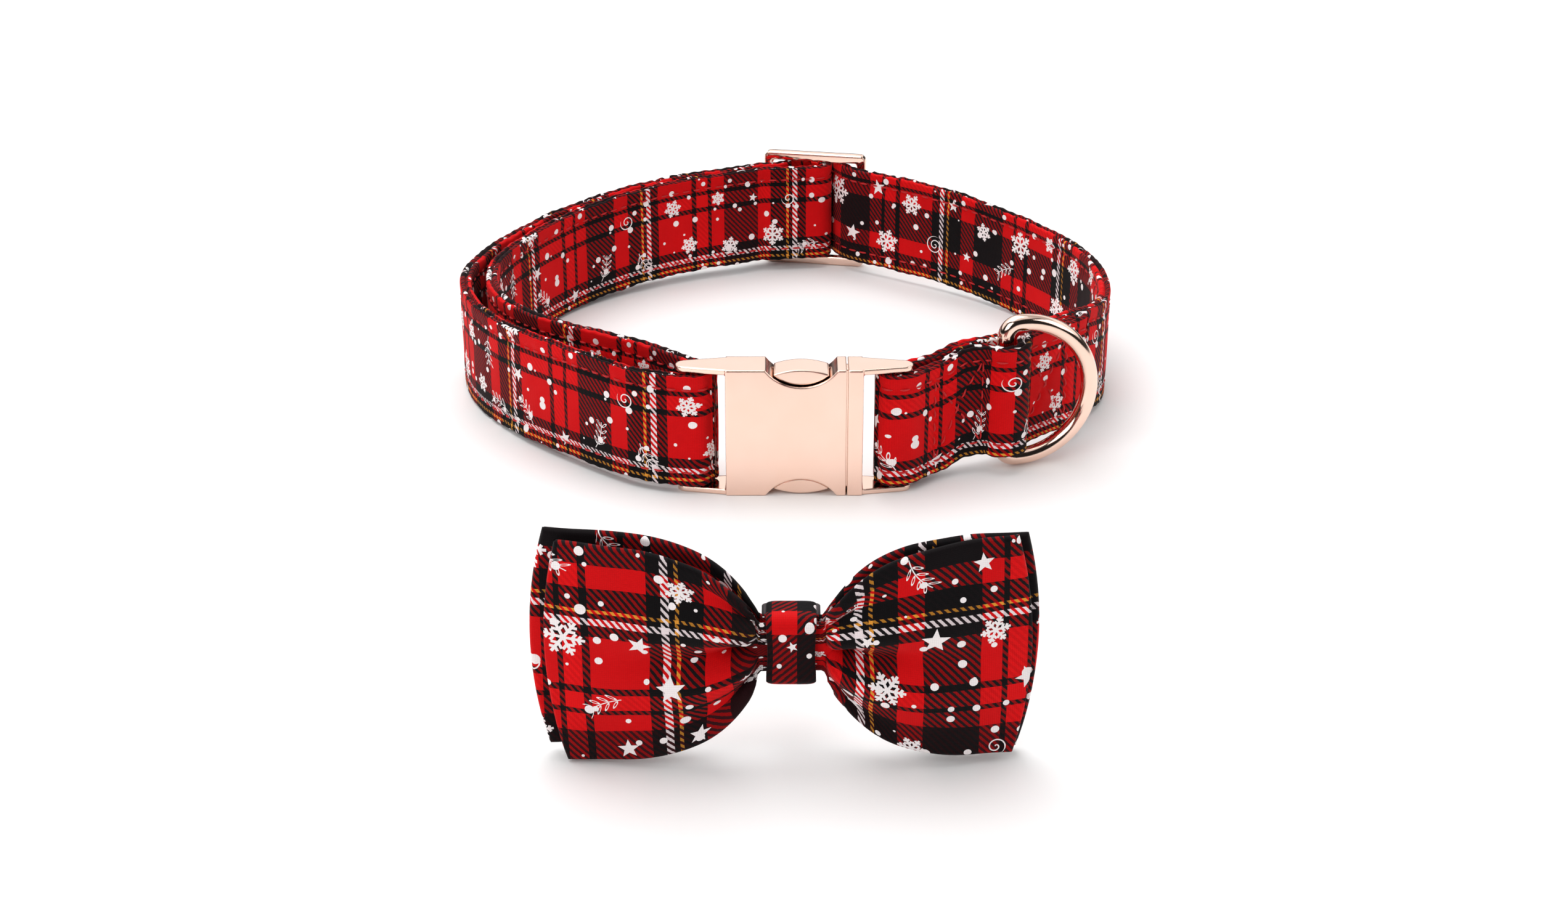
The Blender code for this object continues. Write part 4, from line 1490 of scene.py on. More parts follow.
    def stitches(self, line: StrapLine, seams: tuple[Seam, ...], name: str) -> bpy.types.Object:
        """All the stitches as one mesh: short rods that bow out of the cloth and dive in at their ends.

        A rod stands out by half a sine over its length, and its radius is the thread's half thickness times
        the square root of that sine.

        Args:
            line: The strap's middle line.
            seams: The rows of stitches.
            name: The piece's name.

        Returns:
            The mesh object.
        """
        rings, sides = 6, 6
        share = np.linspace(0.0, 1.0, rings)
        bow = np.sin(math.pi * share)
        turn = np.linspace(0.0, 2.0 * math.pi, sides, endpoint=False)
        all_points = []
        for seam in seams:
            count = max(int(seam.length / self.pitch), 1)
            way = (np.array(seam.end) - np.array(seam.start)) / seam.length
            foot = (np.arange(count) + 0.5) * seam.length / count - self.stitch / 2
            run = foot[:, None] + share[None] * self.stitch
            along = seam.start[0] + way[0] * run
            up = seam.start[1] + way[1] * run
            off = self.face_off(along, up, seam.side, seams)
            off = off + self.thread * (self.stitch_rise * bow - self.stitch_sink)
            radius = self.thread * np.sqrt(np.clip(bow, 0.02, 1.0))
            # Round the thread: across the seam in the face, and out of the face.
            wide = radius[None, :, None] * np.cos(turn)
            tall = radius[None, :, None] * np.sin(turn)
            around = line.at(
                along[..., None] - way[1] * wide,
                seam.side.value * (off[..., None] + tall),
                up[..., None] + way[0] * wide,
            )
            all_points.append(around)
        points = np.concatenate(all_points)
        base = (np.arange(len(points)) * rings * sides)[:, None, None]
        faces = (base + grid_faces(rings, sides, around=True)[None]).reshape(-1, 4).tolist()
        for cap in (np.arange(sides)[::-1], (rings - 1) * sides + np.arange(sides)):
            faces += (base[:, :, 0] + cap[None]).tolist()
        mesh = bpy.data.meshes.new(name)
        mesh.from_pydata(points.reshape(-1, 3).tolist(), [], faces)
        mesh.update()
        return face_outwards(set_down(name, mesh))

    def build(
        self,
        frame: dict,
        centre: tuple[float, float],
        cloth: bpy.types.Material,
        thread: bpy.types.Material,
    ) -> None:
        """Builds the strap run and its stitching.

        Args:
            centre: A point inside the collar.
            cloth: The strap's material.
            thread: The stitches' material.
        """
        line = LineReader().read(frame["nodes"][self.node], centre)
        seams = self.topstitching(line) + self.more_seams
        outer, outer_uv = self.ply(line, Side.OUTER, seams)
        inner, inner_uv = self.ply(line, Side.INNER, seams)
        points = np.concatenate([outer, inner[:, ::-1]], axis=1)
        uv = np.concatenate([outer_uv, inner_uv[:, ::-1]], axis=1)
        uv_right = np.roll(uv, -1, axis=1)
        count = outer.shape[1]
        uv_right[:, count - 1] = outer_uv[:, -1]
        uv_right[:, -1] = inner_uv[:, 0]
        piece = grid_object(f"{self.node}_cover", points, uv, uv_right, around=True, capped=True)
        face_outwards(piece)
        dress(piece, cloth, "strap_cloth", "collar")
        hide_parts(self.node)
        dress(self.stitches(line, seams, f"{self.node}_stitching"), thread, "strap_cloth", "collar")


@dataclass
class CoveredStrap:
    """The whole strap: its four runs, and the boxed crosses that hold the sewn end.

    Attributes:
        sewn_rows: How far from the tongue's bar the sewn end's upright rows stand.
        sewn_half: Half of their height.
    """

    sewn_rows: tuple[float, ...] = (14.6, 26.8, 41.4, 54.4)
    sewn_half: float = 9.3

    def sewn_seams(self) -> tuple[Seam, ...]:
        """The sewn end's upright rows and crosses, on its outer face, from the buckle outwards.

        Returns:
            The seams.
        """
        low, high = -self.sewn_half * MM, self.sewn_half * MM
        rows = [row * MM for row in self.sewn_rows]
        seams = [Seam(Side.OUTER, (row, low), (row, high)) for row in rows]
        for left, right in (rows[:2], rows[2:]):
            seams.append(Seam(Side.OUTER, (left, low), (right, high)))
            seams.append(Seam(Side.OUTER, (left, high), (right, low)))
        return tuple(seams)

    def runs(self) -> tuple[StrapRun, ...]:
        """The four runs, each with how the sett lies on its outer and its inner face.

        Returns:
            The runs.
        """
        return (
            StrapRun("strap_left_run", SettPlace(12.9, 21.6), SettPlace(30.0, 21.0), 11),
            StrapRun("strap_right_run", SettPlace(70.0, 21.6), SettPlace(155.2, 26.3, turned=False), 23),
            StrapRun("strap_adjusting_loop", SettPlace(40.0, 21.0), SettPlace(152.0, 21.8), 37),
            StrapRun("strap_sewn_end", SettPlace(40.2, 22.2), SettPlace(20.0, 22.2), 51, self.sewn_seams()),
        )

    def build(self, frame: dict, cloth: bpy.types.Material, thread: bpy.types.Material) -> None:
        """Builds every run about the collar's middle.

        Args:
            cloth: The strap's material.
            thread: The stitches' material.
        """
        socket_low, socket_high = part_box("buckle_socket")
        slider_low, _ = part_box("slider")
        centre = (float(socket_low.x + socket_high.x) / 2, float(socket_high.y + slider_low.y) / 2)
        for run in self.runs():
            run.build(frame, centre, cloth, thread)


# Hardware


@dataclass
class Hardware:
    """The polished metal pieces.

    Attributes:
        metal: Their material.
        sharp_deg: Edges that turn by more than this get a rim.
        prong_reach: How far the prong plate reaches to each side of the parting.
        prong_recess: How far it stands in from the plates' faces.
        prong_drop: How far it stands in from their ends.
        slider_tilt_deg: How the slider is turned, as seen from above.
        slider_corner: The radius of its four corners.
        plate_rim: How wide the rims of the plates are.
        button_rim: How wide the rims of the release buttons are.
    """

    metal: bpy.types.Material
    body: str = "collar"
    sharp_deg: float = 38.0
    flat_deg: float = 1.0
    rim_steps: int = 3
    prong_reach: float = 1.6 * MM
    prong_recess: float = 2.5 * MM
    prong_drop: float = 0.7 * MM
    slider_tilt_deg: float = -10.5
    slider_corner: float = 2.2 * MM
    corner_cuts_deg: tuple[float, ...] = (22.5, 45.0, 67.5)
    plate_rim: float = 0.25 * MM
    button_rim: float = 0.45 * MM

    def polished(self, frame: dict, node: str, rim: float) -> bpy.types.Object:
        """A node's own shape, its loose triangles merged, with narrow rims and cleanly shaded flats.

        Args:
            node: The node to stand for.
            rim: How wide the bevel is that softens the edges the solid leaves sharp.

        Returns:
            The new piece.
        """
        mesh = frame["nodes"][node].data.copy()
        mesh.name = f"{node}_polished"
        piece = set_down(f"{node}_polished", mesh)
        with opened(mesh) as shape:
            bmesh.ops.remove_doubles(shape, verts=shape.verts, dist=1e-6)
            flat = math.radians(self.flat_deg)
            bmesh.ops.dissolve_limit(
                shape, angle_limit=flat, verts=shape.verts, edges=shape.edges, delimit={"NORMAL"}
            )
            if node == "slider":
                self.round_corners(shape, node)
        mesh.shade_smooth()
        mesh.set_sharp_from_angle(angle=math.radians(self.sharp_deg))
        rims = piece.modifiers.new("rims", "BEVEL")
        rims.limit_method = "ANGLE"
        rims.angle_limit = math.radians(self.sharp_deg)
        rims.width = rim
        rims.segments = self.rim_steps
        piece.modifiers.new("flat faces lead", "WEIGHTED_NORMAL").keep_sharp = False
        dress(piece, self.metal, "polished_metal", self.body)
        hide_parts(node)
        return piece

    def round_corners(self, shape: bmesh.types.BMesh, node: str) -> None:
        """Rounds the slider's four outer corners: each is cut along tangents of its corner circle.

        Args:
            shape: The slider's mesh, in world places.
            node: Its node.
        """
        low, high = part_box(node)
        middle = (low + high) / 2
        tilt = math.radians(self.slider_tilt_deg)
        along = Vector((math.cos(tilt), math.sin(tilt), 0.0))
        up = Vector((0.0, 0.0, 1.0))
        half_along = max((corner.co - middle).dot(along) for corner in shape.verts)
        half_up = (high.z - low.z) / 2
        for side_along, side_up in itertools.product((-1.0, 1.0), repeat=2):
            centre = middle + along * side_along * (half_along - self.slider_corner)
            centre += up * side_up * (half_up - self.slider_corner)
            for angle in map(math.radians, self.corner_cuts_deg):
                outward = along * side_along * math.cos(angle) + up * side_up * math.sin(angle)
                cut = bmesh.ops.bisect_plane(
                    shape,
                    geom=shape.verts[:] + shape.edges[:] + shape.faces[:],
                    dist=1e-7,
                    plane_co=centre + outward * self.slider_corner,
                    plane_no=outward,
                    clear_outer=True,
                )
                rim = [part for part in cut["geom_cut"] if isinstance(part, bmesh.types.BMEdge)]
                bmesh.ops.holes_fill(shape, edges=rim)

    def prongs(self) -> None:
        """The tongue's prong plate, seen only as the dark floor of the parting line between the two halves.

        It is a rounded slab that bridges the parting: its outline is a superellipse of power 8 in X and Z.
        Its two faces stand in from the plates' faces by the named recess, its ends by the named drop.
        """
        socket_low, socket_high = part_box("buckle_socket")
        tongue_low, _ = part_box("buckle_tongue")
        middle = np.array([(socket_high.x + tongue_low.x) / 2, 0.0, (socket_low.z + socket_high.z) / 2])
        half = np.array([self.prong_reach, 0.0, (socket_high.z - socket_low.z) / 2 - self.prong_drop])
        turn = np.linspace(0.0, 2.0 * math.pi, 49)[:-1]
        outline = np.stack([np.cos(turn), 0.0 * turn, np.sin(turn)], axis=-1)
        squared = np.sign(outline) * np.abs(outline) ** 0.25
        depths = np.array([socket_low.y + self.prong_recess, socket_high.y - self.prong_recess])
        points = middle + squared[None] * half + depths[:, None, None] * np.array([0.0, 1.0, 0.0])
        plate = grid_object("buckle_prong_plate", points, around=True, capped=True)
        face_outwards(plate)
        plate.data.shade_flat()
        dress(plate, self.metal, "polished_metal", self.body)

    def build(self, frame: dict) -> None:
        """Polishes the buckle's four pieces and the slider, and fills the parting.
        """
        for node in ("buckle_socket", "buckle_tongue", "slider"):
            self.polished(frame, node, self.plate_rim)
        for node in ("release_button_top", "release_button_bottom"):
            self.polished(frame, node, self.button_rim)
        self.prongs()


@dataclass
class LeadRing:
    """The lead ring: a round wire carried along a D whose straight side is the pin.

    Attributes:
        wire: The wire's thickness.
        corner: The radius of the two bends at the pin.
        tip: The depth of the solid's outermost part, which tells where the ring points.
    """

    wire: float = 3.6 * MM
    corner: float = 3.0 * MM
    tip: float = 0.4 * MM
    sides: int = 24
    step: float = 0.5 * MM
    body: str = "ring"

    def path(self, height: float, reach: float) -> np.ndarray:
        """The wire's middle in the ring's own plane: a half circle, two straights, two bends and the pin.

        Args:
            height: The ring's whole height.
            reach: How far it stands out from the pin's axis.

        Returns:
            Points with their distance out and their height, closed end to start.
        """
        half = (height - self.wire) / 2
        straight = reach - self.wire / 2 - half
        arc = np.linspace(math.pi / 2, -math.pi / 2, 61)
        bend = np.linspace(math.pi, math.pi / 2, 9)
        outer = np.column_stack([straight + half * np.cos(arc), half * np.sin(arc)])
        bend_out = self.corner + self.corner * np.cos(bend)
        bend_up = half - self.corner + self.corner * np.sin(bend)
        upper = np.column_stack([bend_out, bend_up])
        lower = upper[::-1] * np.array([1.0, -1.0])
        return np.vstack([upper, outer, lower, upper[:1]])

    def build(self, frame: dict, metal: bpy.types.Material) -> None:
        """Builds the ring about its hinge, facing as the solid does.

        The profile is a circle in the plane of the path's normal and the ring's own normal.

        Args:
            metal: Its material.
        """
        joint = next(joint for joint in frame["joints"] if joint["child"] == self.body)
        pin = np.array(joint["pos_m"])
        corners = triangles_of(frame["nodes"]["lead_ring"]).reshape(-1, 3) - pin
        out = np.hypot(corners[:, 0], corners[:, 1])
        furthest = corners[out > out.max() - self.tip]
        facing = math.atan2(furthest[:, 1].mean(), furthest[:, 0].mean())
        low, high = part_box("lead_ring")
        line = resampled(self.path(high.z - low.z, float(out.max())), self.step)[:-1]
        ahead = unit(np.roll(line, -1, axis=0) - np.roll(line, 1, axis=0))
        side = np.column_stack([ahead[:, 1], -ahead[:, 0]])
        turn = np.linspace(0.0, 2.0 * math.pi, self.sides, endpoint=False)
        radius = self.wire / 2
        in_plane = line[:, None] + radius * np.cos(turn)[None, :, None] * side[:, None]
        across = np.broadcast_to(radius * np.sin(turn)[None], in_plane.shape[:2])
        x = in_plane[..., 0] * math.cos(facing) - across * math.sin(facing)
        y = in_plane[..., 0] * math.sin(facing) + across * math.cos(facing)
        middle = (low.z + high.z) / 2
        points = np.stack([pin[0] + x, pin[1] + y, middle + in_plane[..., 1]], axis=-1)
        closed = np.concatenate([points, points[:1]])
        piece = face_outwards(grid_object("lead_ring_wire", closed, around=True), 1e-6)
        dress(piece, metal, "polished_metal", self.body)
        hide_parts("lead_ring")


# Bow


@dataclass
class BowLayer:
    """One flat double cloth of the bow, gathered in the knot: two plies that meet in a fold all round.

    Attributes:
        node: The solid that it stands for.
        tilt_deg: How far the layer leans about the knot, anticlockwise as seen from the front.
        puff: How far the wings stand forward.
        crease: How deep the middle crease is.
        pleat: How deep the pleats beside the knot are.
        along_start: Where the sett starts along the cloth, in millimetres.
        seed: Which unevenness it has.
        corner_inset: How much shorter the cloth is at its corners than at half its height.
        pinch_half: Half the cloth's height in the knot.
        flare: How fast the wings open.
        knot_half: Where that starts, from the knot's middle.
        free_half: Where the wings come out of the knot.
        cloth: The thickness of the two plies.
        hidden_cloth: How much cloth lies gathered in each half of the knot.
        across_start: Where the sett starts across the cloth, in millimetres.
        swell_lean: How near the knot the puff is highest; less is nearer.
        swell_fullness: How pointed the puff is; less is fuller.
        edge_fall: What the puff loses at the upper and lower edges, as a share.
        crease_width: The crease's width, as a share of half the height.
        crease_end: Where the crease has faded, as a share of the wing.
        pleat_fade: How fast the pleats fade, as a share of the wing.
        pleat_waves: How many half waves the pleats make over half the height.
        loose: How uneven the cloth is.
        apart: How far the layer lies from the knot's middle.
        easing: How much the columns and the rows crowd at the border.
    """

    node: str
    tilt_deg: float
    puff: float
    crease: float
    pleat: float
    along_start: float
    seed: int
    corner_inset: float = 2.8 * MM
    pinch_half: float = 4.5 * MM
    flare: float = 7.8 * MM
    knot_half: float = 5.3 * MM
    free_half: float = 6.4 * MM
    cloth: float = 1.7 * MM
    hidden_cloth: float = 4.8 * MM
    across_start: float = 23.9
    swell_lean: float = 0.65
    swell_fullness: float = 0.9
    edge_fall: float = 0.5
    crease_width: float = 0.16
    crease_rise: float = 0.09
    crease_end: float = 0.80
    pleat_rise: float = 0.03
    pleat_fade: float = 0.26
    pleat_waves: float = 3.0
    pleat_shift: float = 0.6
    loose: float = 0.25 * MM
    loose_length: float = 16.0 * MM
    loose_rise: float = 0.3
    apart: float = 1.4 * MM
    easing: tuple[float, float] = (0.35, 0.50)
    columns: int = 181
    rows: int = 89
    body: str = "collar"

    def wing_half_height(self, x: np.ndarray, full: float) -> np.ndarray:
        """Half the cloth's height: the pinch, plus the rest times 1 - exp(-distance / flare)."""
        out = np.maximum(np.abs(x) - self.knot_half, 0.0)
        return self.pinch_half + (full - self.pinch_half) * (1.0 - np.exp(-out / self.flare))

    def middle(self) -> tuple[np.ndarray, np.ndarray]:
        """The layer's middle surface and its flat-cloth places.

        Across is p and up is q, both from -1 to 1. X is p times the wing's width, less an inset that grows
        with q squared. Z is q times the wing's half height. Y leaves the plane by a swelling of the wing,
        less a crease at q = 0 and pleats that fade away from the knot. X and Z then turn by the tilt.

        Returns:
            Places as columns by rows by 3, and flat-cloth places as columns by rows by 2.
        """
        low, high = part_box(self.node)
        knot_low, knot_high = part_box("bow_knot")
        centre_x, centre_z = (knot_low.x + knot_high.x) / 2, (knot_low.z + knot_high.z) / 2
        tilt = math.radians(self.tilt_deg)
        leaning = ((high.x - low.x) / 2 - self.corner_inset) * math.sin(abs(tilt))
        full = ((high.z - low.z) / 2 - leaning) / math.cos(tilt) - self.cloth / 8
        easy_p, easy_q = self.easing
        p, q = np.meshgrid(self.eased(self.columns, easy_p), self.eased(self.rows, easy_q), indexing="ij")
        width = np.where(p < 0.0, centre_x - low.x, high.x - centre_x) - self.cloth / 4
        x = p * (width - self.corner_inset * q**2)
        z = q * self.wing_half_height(x, full)
        out = np.abs(x)
        wing = np.clip((out - self.free_half) / (width - self.free_half), 0.0, 1.0)
        swell = np.sin(math.pi * wing**self.swell_lean) ** self.swell_fullness
        fade = np.clip(1.0 - wing / self.crease_end, 0.0, 1.0) * np.minimum(wing / self.crease_rise, 1.0)
        crease = np.exp(-((q / self.crease_width) ** 2)) * fade
        gathered = np.exp(-wing / self.pleat_fade) * np.minimum(wing / self.pleat_rise, 1.0)
        pleats = np.cos(self.pleat_waves * math.pi * q + self.pleat_shift * np.sign(x)) * gathered
        uneven = ripple(x, z, self.seed, self.loose_length) * np.minimum(wing / self.loose_rise, 1.0)
        puffed = self.puff * swell * (1.0 - self.edge_fall * q**2)
        y = self.layer_offset(low, high, knot_low, knot_high) - puffed
        y = y + self.crease * crease + self.pleat * pleats + self.loose * uneven
        turned_x = x * math.cos(tilt) - z * math.sin(tilt)
        turned_z = x * math.sin(tilt) + z * math.cos(tilt)
        places = np.stack([centre_x + turned_x, y, centre_z + turned_z], axis=-1)
        drawn_in = self.hidden_cloth * np.sign(x) * np.minimum(out / self.free_half, 1.0)
        u = self.along_start * MM + x + drawn_in
        v = self.across_start * MM + q * full
        return places, np.stack([u, v], axis=-1)

    @staticmethod
    def eased(count: int, share: float) -> np.ndarray:
        """Steps from -1 to 1 that crowd at both ends: a share of a quarter sine's steps, the rest even."""
        even = np.linspace(-1.0, 1.0, count)
        return share * np.sin(even * math.pi / 2) + (1.0 - share) * even

    def layer_offset(self, low: Vector, high: Vector, knot_low: Vector, knot_high: Vector) -> float:
        """Where the layer's middle lies in depth: before or behind the knot's middle, as its solid does.

        Args:
            low: The solid's lower corner.
            high: Its upper corner.
            knot_low: The knot's lower corner.
            knot_high: Its upper corner.

        Returns:
            The depth.
        """
        knot_middle = (knot_low.y + knot_high.y) / 2
        front = (low.y + high.y) / 2 < knot_middle
        return knot_middle + (-self.apart if front else self.apart)

    def build(self, cloth: bpy.types.Material) -> bpy.types.Object:
        """Builds the layer: each ply leaves the middle along its normal, and they meet in a round edge.

        The round edge is the square root of 1 - (1 - distance / half cloth) squared within half a cloth of
        the border, and 1 further in, so that the plies meet in a half-round fold.

        Args:
            cloth: Its material.

        Returns:
            The piece.
        """
        middle, uv = self.middle()
        normal = unit(np.cross(np.gradient(middle, axis=0), np.gradient(middle, axis=1)))
        steps_x = np.linalg.norm(np.diff(middle, axis=0), axis=-1)
        steps_z = np.linalg.norm(np.diff(middle, axis=1), axis=-1)
        from_left = np.vstack([np.zeros(self.rows), np.cumsum(steps_x, axis=0)])
        from_low = np.column_stack([np.zeros(self.columns), np.cumsum(steps_z, axis=1)])
        from_sides = np.minimum(from_left, from_left[-1:] - from_left)
        border = np.minimum(from_sides, np.minimum(from_low, from_low[:, -1:] - from_low))
        near = np.clip(border / (self.cloth / 2), 0.0, 1.0)
        half = (self.cloth / 2 * np.sqrt(1.0 - (1.0 - near) ** 2))[..., None]
        plies = [
            grid_object(f"{self.node}_{label}_ply", middle + normal * way * half, uv[:, :-1], uv[:, 1:])
            for label, way in (("front", 1.0), ("back", -1.0))
        ]
        return self.joined(plies, cloth)

    def joined(self, plies: list[bpy.types.Object], cloth: bpy.types.Material) -> bpy.types.Object:
        """Welds the two plies along their border into one closed piece.

        Args:
            plies: The two plies.
            cloth: The piece's material.

        Returns:
            The piece.
        """
        mesh = bpy.data.meshes.new(f"{self.node}_cloth")
        with opened(mesh) as shape:
            for ply in plies:
                shape.from_mesh(ply.data)
            bmesh.ops.remove_doubles(shape, verts=shape.verts, dist=1e-6)
            bmesh.ops.recalc_face_normals(shape, faces=shape.faces)
        for ply in plies:
            bpy.data.objects.remove(ply)
        made = set_down(mesh.name, mesh)
        mesh.shade_smooth()
        dress(made, cloth, "bow_cloth", self.body)
        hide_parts(self.node)
        return made


@dataclass
class ClothBand:
    """A closed band of cloth: a rounded rectangle in Y and Z carried along X, with rounded edges.

    Attributes:
        node: The solid that it stands for.
        wall: The cloth's thickness.
        corner: The radius of the band's bends.
        slot: The record's slot.
        along_start: Where the sett starts round the band, in millimetres.
        across_start: Where it starts across the band, in millimetres.
        waist: How much narrower the band is at half its height, as a share.
    """

    node: str
    wall: float
    corner: float
    slot: str
    along_start: float = 0.0
    across_start: float = 0.0
    waist: float = 0.0
    around_steps: int = 96
    across_steps: int = 15
    corner_steps: int = 9
    body: str = "collar"

    def ring(self, half_y: float, half_z: float) -> np.ndarray:
        """The band's middle line about its own centre: four quarter circles joined by straights.

        Args:
            half_y: Half its depth.
            half_z: Half its height.

        Returns:
            Points in Y and Z at even steps, the last of which is the first.
        """
        quarter = np.linspace(0.0, math.pi / 2, self.corner_steps)
        corners = []
        for number, (sign_y, sign_z) in enumerate(((1, 1), (-1, 1), (-1, -1), (1, -1))):
            angle = quarter + number * math.pi / 2
            bend_y = sign_y * (half_y - self.corner) + self.corner * np.cos(angle)
            bend_z = sign_z * (half_z - self.corner) + self.corner * np.sin(angle)
            corners.append(np.column_stack([bend_y, bend_z]))
        closed = np.vstack(corners + [corners[0][:1]])
        return resampled(closed, 2.0 * (half_y + half_z) * 2.0 / self.around_steps)

    def build(self, material: bpy.types.Material) -> bpy.types.Object:
        """Builds the band from its solid's box.

        The profile's arc length gives U. The band's cross-section is a flat oval: the wall's half thickness
        times the square root of 1 - s to the sixth, where s runs from -1 to 1 across the band.

        Args:
            material: Its material.

        Returns:
            The piece.
        """
        low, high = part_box(self.node)
        half_y = (high.y - low.y) / 2 - self.wall / 2
        half_z = (high.z - low.z) / 2 - self.wall / 2
        centre_y, centre_z = (low.y + high.y) / 2, (low.z + high.z) / 2
        ring = self.ring(half_y, half_z)
        ahead = np.gradient(ring, axis=0)
        ahead[0] = ahead[-1] = ring[1] - ring[-2]
        ahead = unit(ahead)
        side = np.column_stack([ahead[:, 1], -ahead[:, 0]])
        travel = travelled(ring)
        s = np.sin(np.linspace(-1.0, 1.0, self.across_steps) * math.pi / 2)
        oval = self.wall / 2 * np.sqrt(np.clip(1.0 - s**6, 0.0, 1.0))
        half_x = (high.x - low.x) / 2
        profile_x = np.concatenate([s, s[-2:0:-1]]) * half_x
        profile_off = np.concatenate([oval, -oval[-2:0:-1]])
        waist = 1.0 - self.waist * np.cos(math.pi * ring[:, 1] / (2.0 * half_z + self.wall)) ** 2
        x = (low.x + high.x) / 2 + waist[:, None] * profile_x[None]
        y = centre_y + ring[:, :1] + side[:, :1] * profile_off[None]
        z = centre_z + ring[:, 1:] + side[:, 1:] * profile_off[None]
        points = np.stack([x, y, z], axis=-1)
        u = self.along_start * MM + travel[:, None] + 0.0 * profile_x[None]
        v = self.across_start * MM + profile_x[None] + 0.0 * travel[:, None]
        uv = np.stack([u, v], axis=-1)
        piece = grid_object(f"{self.node}_band", points, uv, np.roll(uv, -1, axis=1), around=True)
        face_outwards(piece, 1e-6)
        dress(piece, material, self.slot, self.body)
        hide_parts(self.node)
        return piece


@dataclass
class Bow:
    """The slip-on bow: two gathered layers, the knot band and the elastic loop behind."""

    def build(self, cloth: bpy.types.Material, elastic: bpy.types.Material) -> None:
        """Args:
            cloth: The bow's cloth.
            elastic: The loop's elastic.
        """
        front = BowLayer(
            "bow_front",
            tilt_deg=0.9,
            puff=4.8 * MM,
            crease=3.5 * MM,
            pleat=1.6 * MM,
            along_start=14.9,
            seed=71,
        ).build(cloth)
        back = BowLayer(
            "bow_back",
            tilt_deg=-0.6,
            puff=0.8 * MM,
            crease=0.6 * MM,
            pleat=0.2 * MM,
            along_start=5.0,
            seed=83,
        ).build(cloth)
        ClothBand(
            "bow_knot",
            wall=1.1 * MM,
            corner=1.5 * MM,
            slot="bow_cloth",
            along_start=73.4,
            across_start=40.5,
            waist=0.06,
        ).build(cloth)
        ClothBand("bow_keeper", wall=1.1 * MM, corner=2.4 * MM, slot="elastic").build(elastic)


# Studio


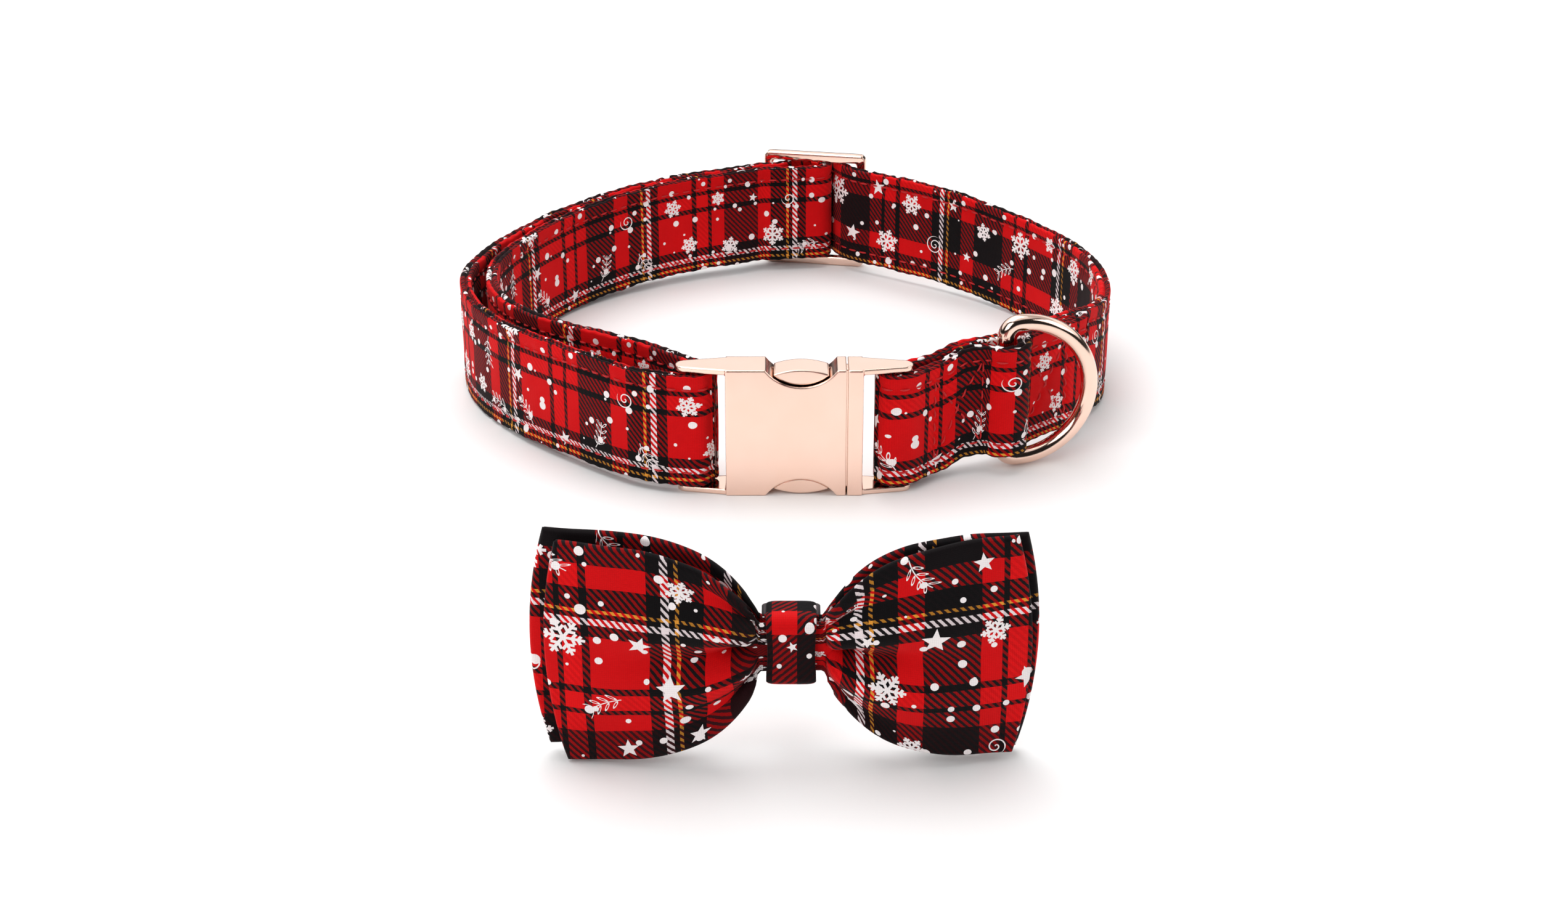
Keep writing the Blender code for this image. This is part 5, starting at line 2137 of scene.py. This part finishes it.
@dataclass
class Studio:
    """The camera at the photograph's angle, the pale floor and the soft lights."""

    camera_ahead: float = 429.0 * MM
    camera_height: float = 211.1 * MM
    camera_pitch_deg: float = 25.0
    lens: float = 51.96
    sensor: float = 36.0
    floor_half: float = 8.0
    sky_strength: float = 0.88
    sky_turn: float = 0.12
    aim: tuple[float, float, float] = (0.0, 0.02, 0.0)
    lights: tuple[tuple, ...] = (
        # name, place, side, watts
        ("overhead_softbox", (-0.25, 0.30, 1.10), 1.1, 9.5),
        ("front_softbox", (-0.70, -1.00, 0.85), 0.9, 9.0),
        ("right_softbox", (1.00, -0.30, 0.70), 0.7, 3.6),
    )

    def camera(self) -> None:
        """Stands the camera in front of the buckle's face, looking down at it."""
        low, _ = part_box("buckle_socket")
        data = bpy.data.cameras.new("camera")
        data.lens = self.lens
        data.sensor_width = self.sensor
        made = set_down("camera", data)
        made.location = (0.0, low.y - self.camera_ahead, self.camera_height)
        made.rotation_euler = (math.radians(90.0 - self.camera_pitch_deg), 0.0, 0.0)
        bpy.context.scene.camera = made

    def floor(self) -> None:
        """Lays the pale paper that the collar stands on."""
        edge = np.linspace(-self.floor_half, self.floor_half, 5)
        x, y = np.meshgrid(edge, edge)
        piece = grid_object("paper_floor", np.stack([x, y, 0.0 * x], axis=-1))
        piece.data.materials.append(PaperFinish().build())

    def light(self, name: str, place: tuple[float, float, float], size: float, power: float) -> None:
        """Hangs one square soft light that faces the middle of the collar.

        Args:
            name: Its name.
            place: Where it hangs.
            size: Its side.
            power: Its power in watts.
        """
        data = bpy.data.lights.new(name, "AREA")
        data.shape = "SQUARE"
        data.size = size
        data.energy = power
        made = set_down(name, data)
        made.location = place
        made.rotation_euler = (Vector(self.aim) - Vector(place)).to_track_quat("-Z", "Y").to_euler()

    def build(self) -> None:
        """Sets up camera, floor, lights and surroundings."""
        self.camera()
        self.floor()
        for light in self.lights:
            self.light(*light)
        bpy.context.scene.world = self.surroundings()
        bpy.context.scene.view_settings.view_transform = "Standard"

    def surroundings(self) -> bpy.types.World:
        """A pale sky that is dark low down behind the collar, and dark almost up to its top in front of it.

        The dark parts draw the lines along the metal's rims.

        Returns:
            The world.
        """
        world = bpy.data.worlds.new("studio")
        world.use_nodes = True
        board = NodeBoard(world.node_tree)
        way = board.axes(board.add("ShaderNodeTexCoord").outputs["Generated"])
        turn = {"Value": way["Y"], "From Min": self.sky_turn, "From Max": -self.sky_turn}
        ahead = board.add("ShaderNodeMapRange", turn).outputs["Result"]
        behind, before = (
            board.ramp(way["Z"], [(height, (grey, grey, grey, 1.0)) for height, grey in greys])
            for greys in (SKY_BEHIND, SKY_BEFORE)
        )
        sky = world.node_tree.nodes["Background"].inputs
        board.feed(sky["Color"], board.mix(ahead, behind, before))
        sky["Strength"].default_value = self.sky_strength
        return world


def cloth_groups() -> dict[str, bpy.types.NodeTree]:
    """The node groups that every cloth material shares.

    Returns:
        The groups' trees by what they show.
    """
    printing = TartanPrint()
    cell = printing.cell()
    return {
        "tartan": printing.tartan(),
        "threads": printing.threads(),
        "ornaments": printing.ornaments(cell),
    }


def main() -> None:
    """Loads the frame and builds every sub-assembly in order."""
    logging.basicConfig(level=logging.INFO, format="%(name)s: %(message)s")
    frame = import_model()
    Studio().build()
    groups = cloth_groups()
    strap_cloth = ClothFinish("strap_tartan", 3.0).build(groups)
    bow_cloth = ClothFinish("bow_tartan", 8.0, 0.04).build(groups)
    thread = ThreadFinish().build()
    metal = PolishedFinish().build()
    elastic = ElasticFinish().build()
    CoveredStrap().build(frame, strap_cloth, thread)
    Hardware(metal).build(frame)
    LeadRing().build(frame, metal)
    Bow().build(bow_cloth, elastic)


if __name__ == "__main__":
    main()
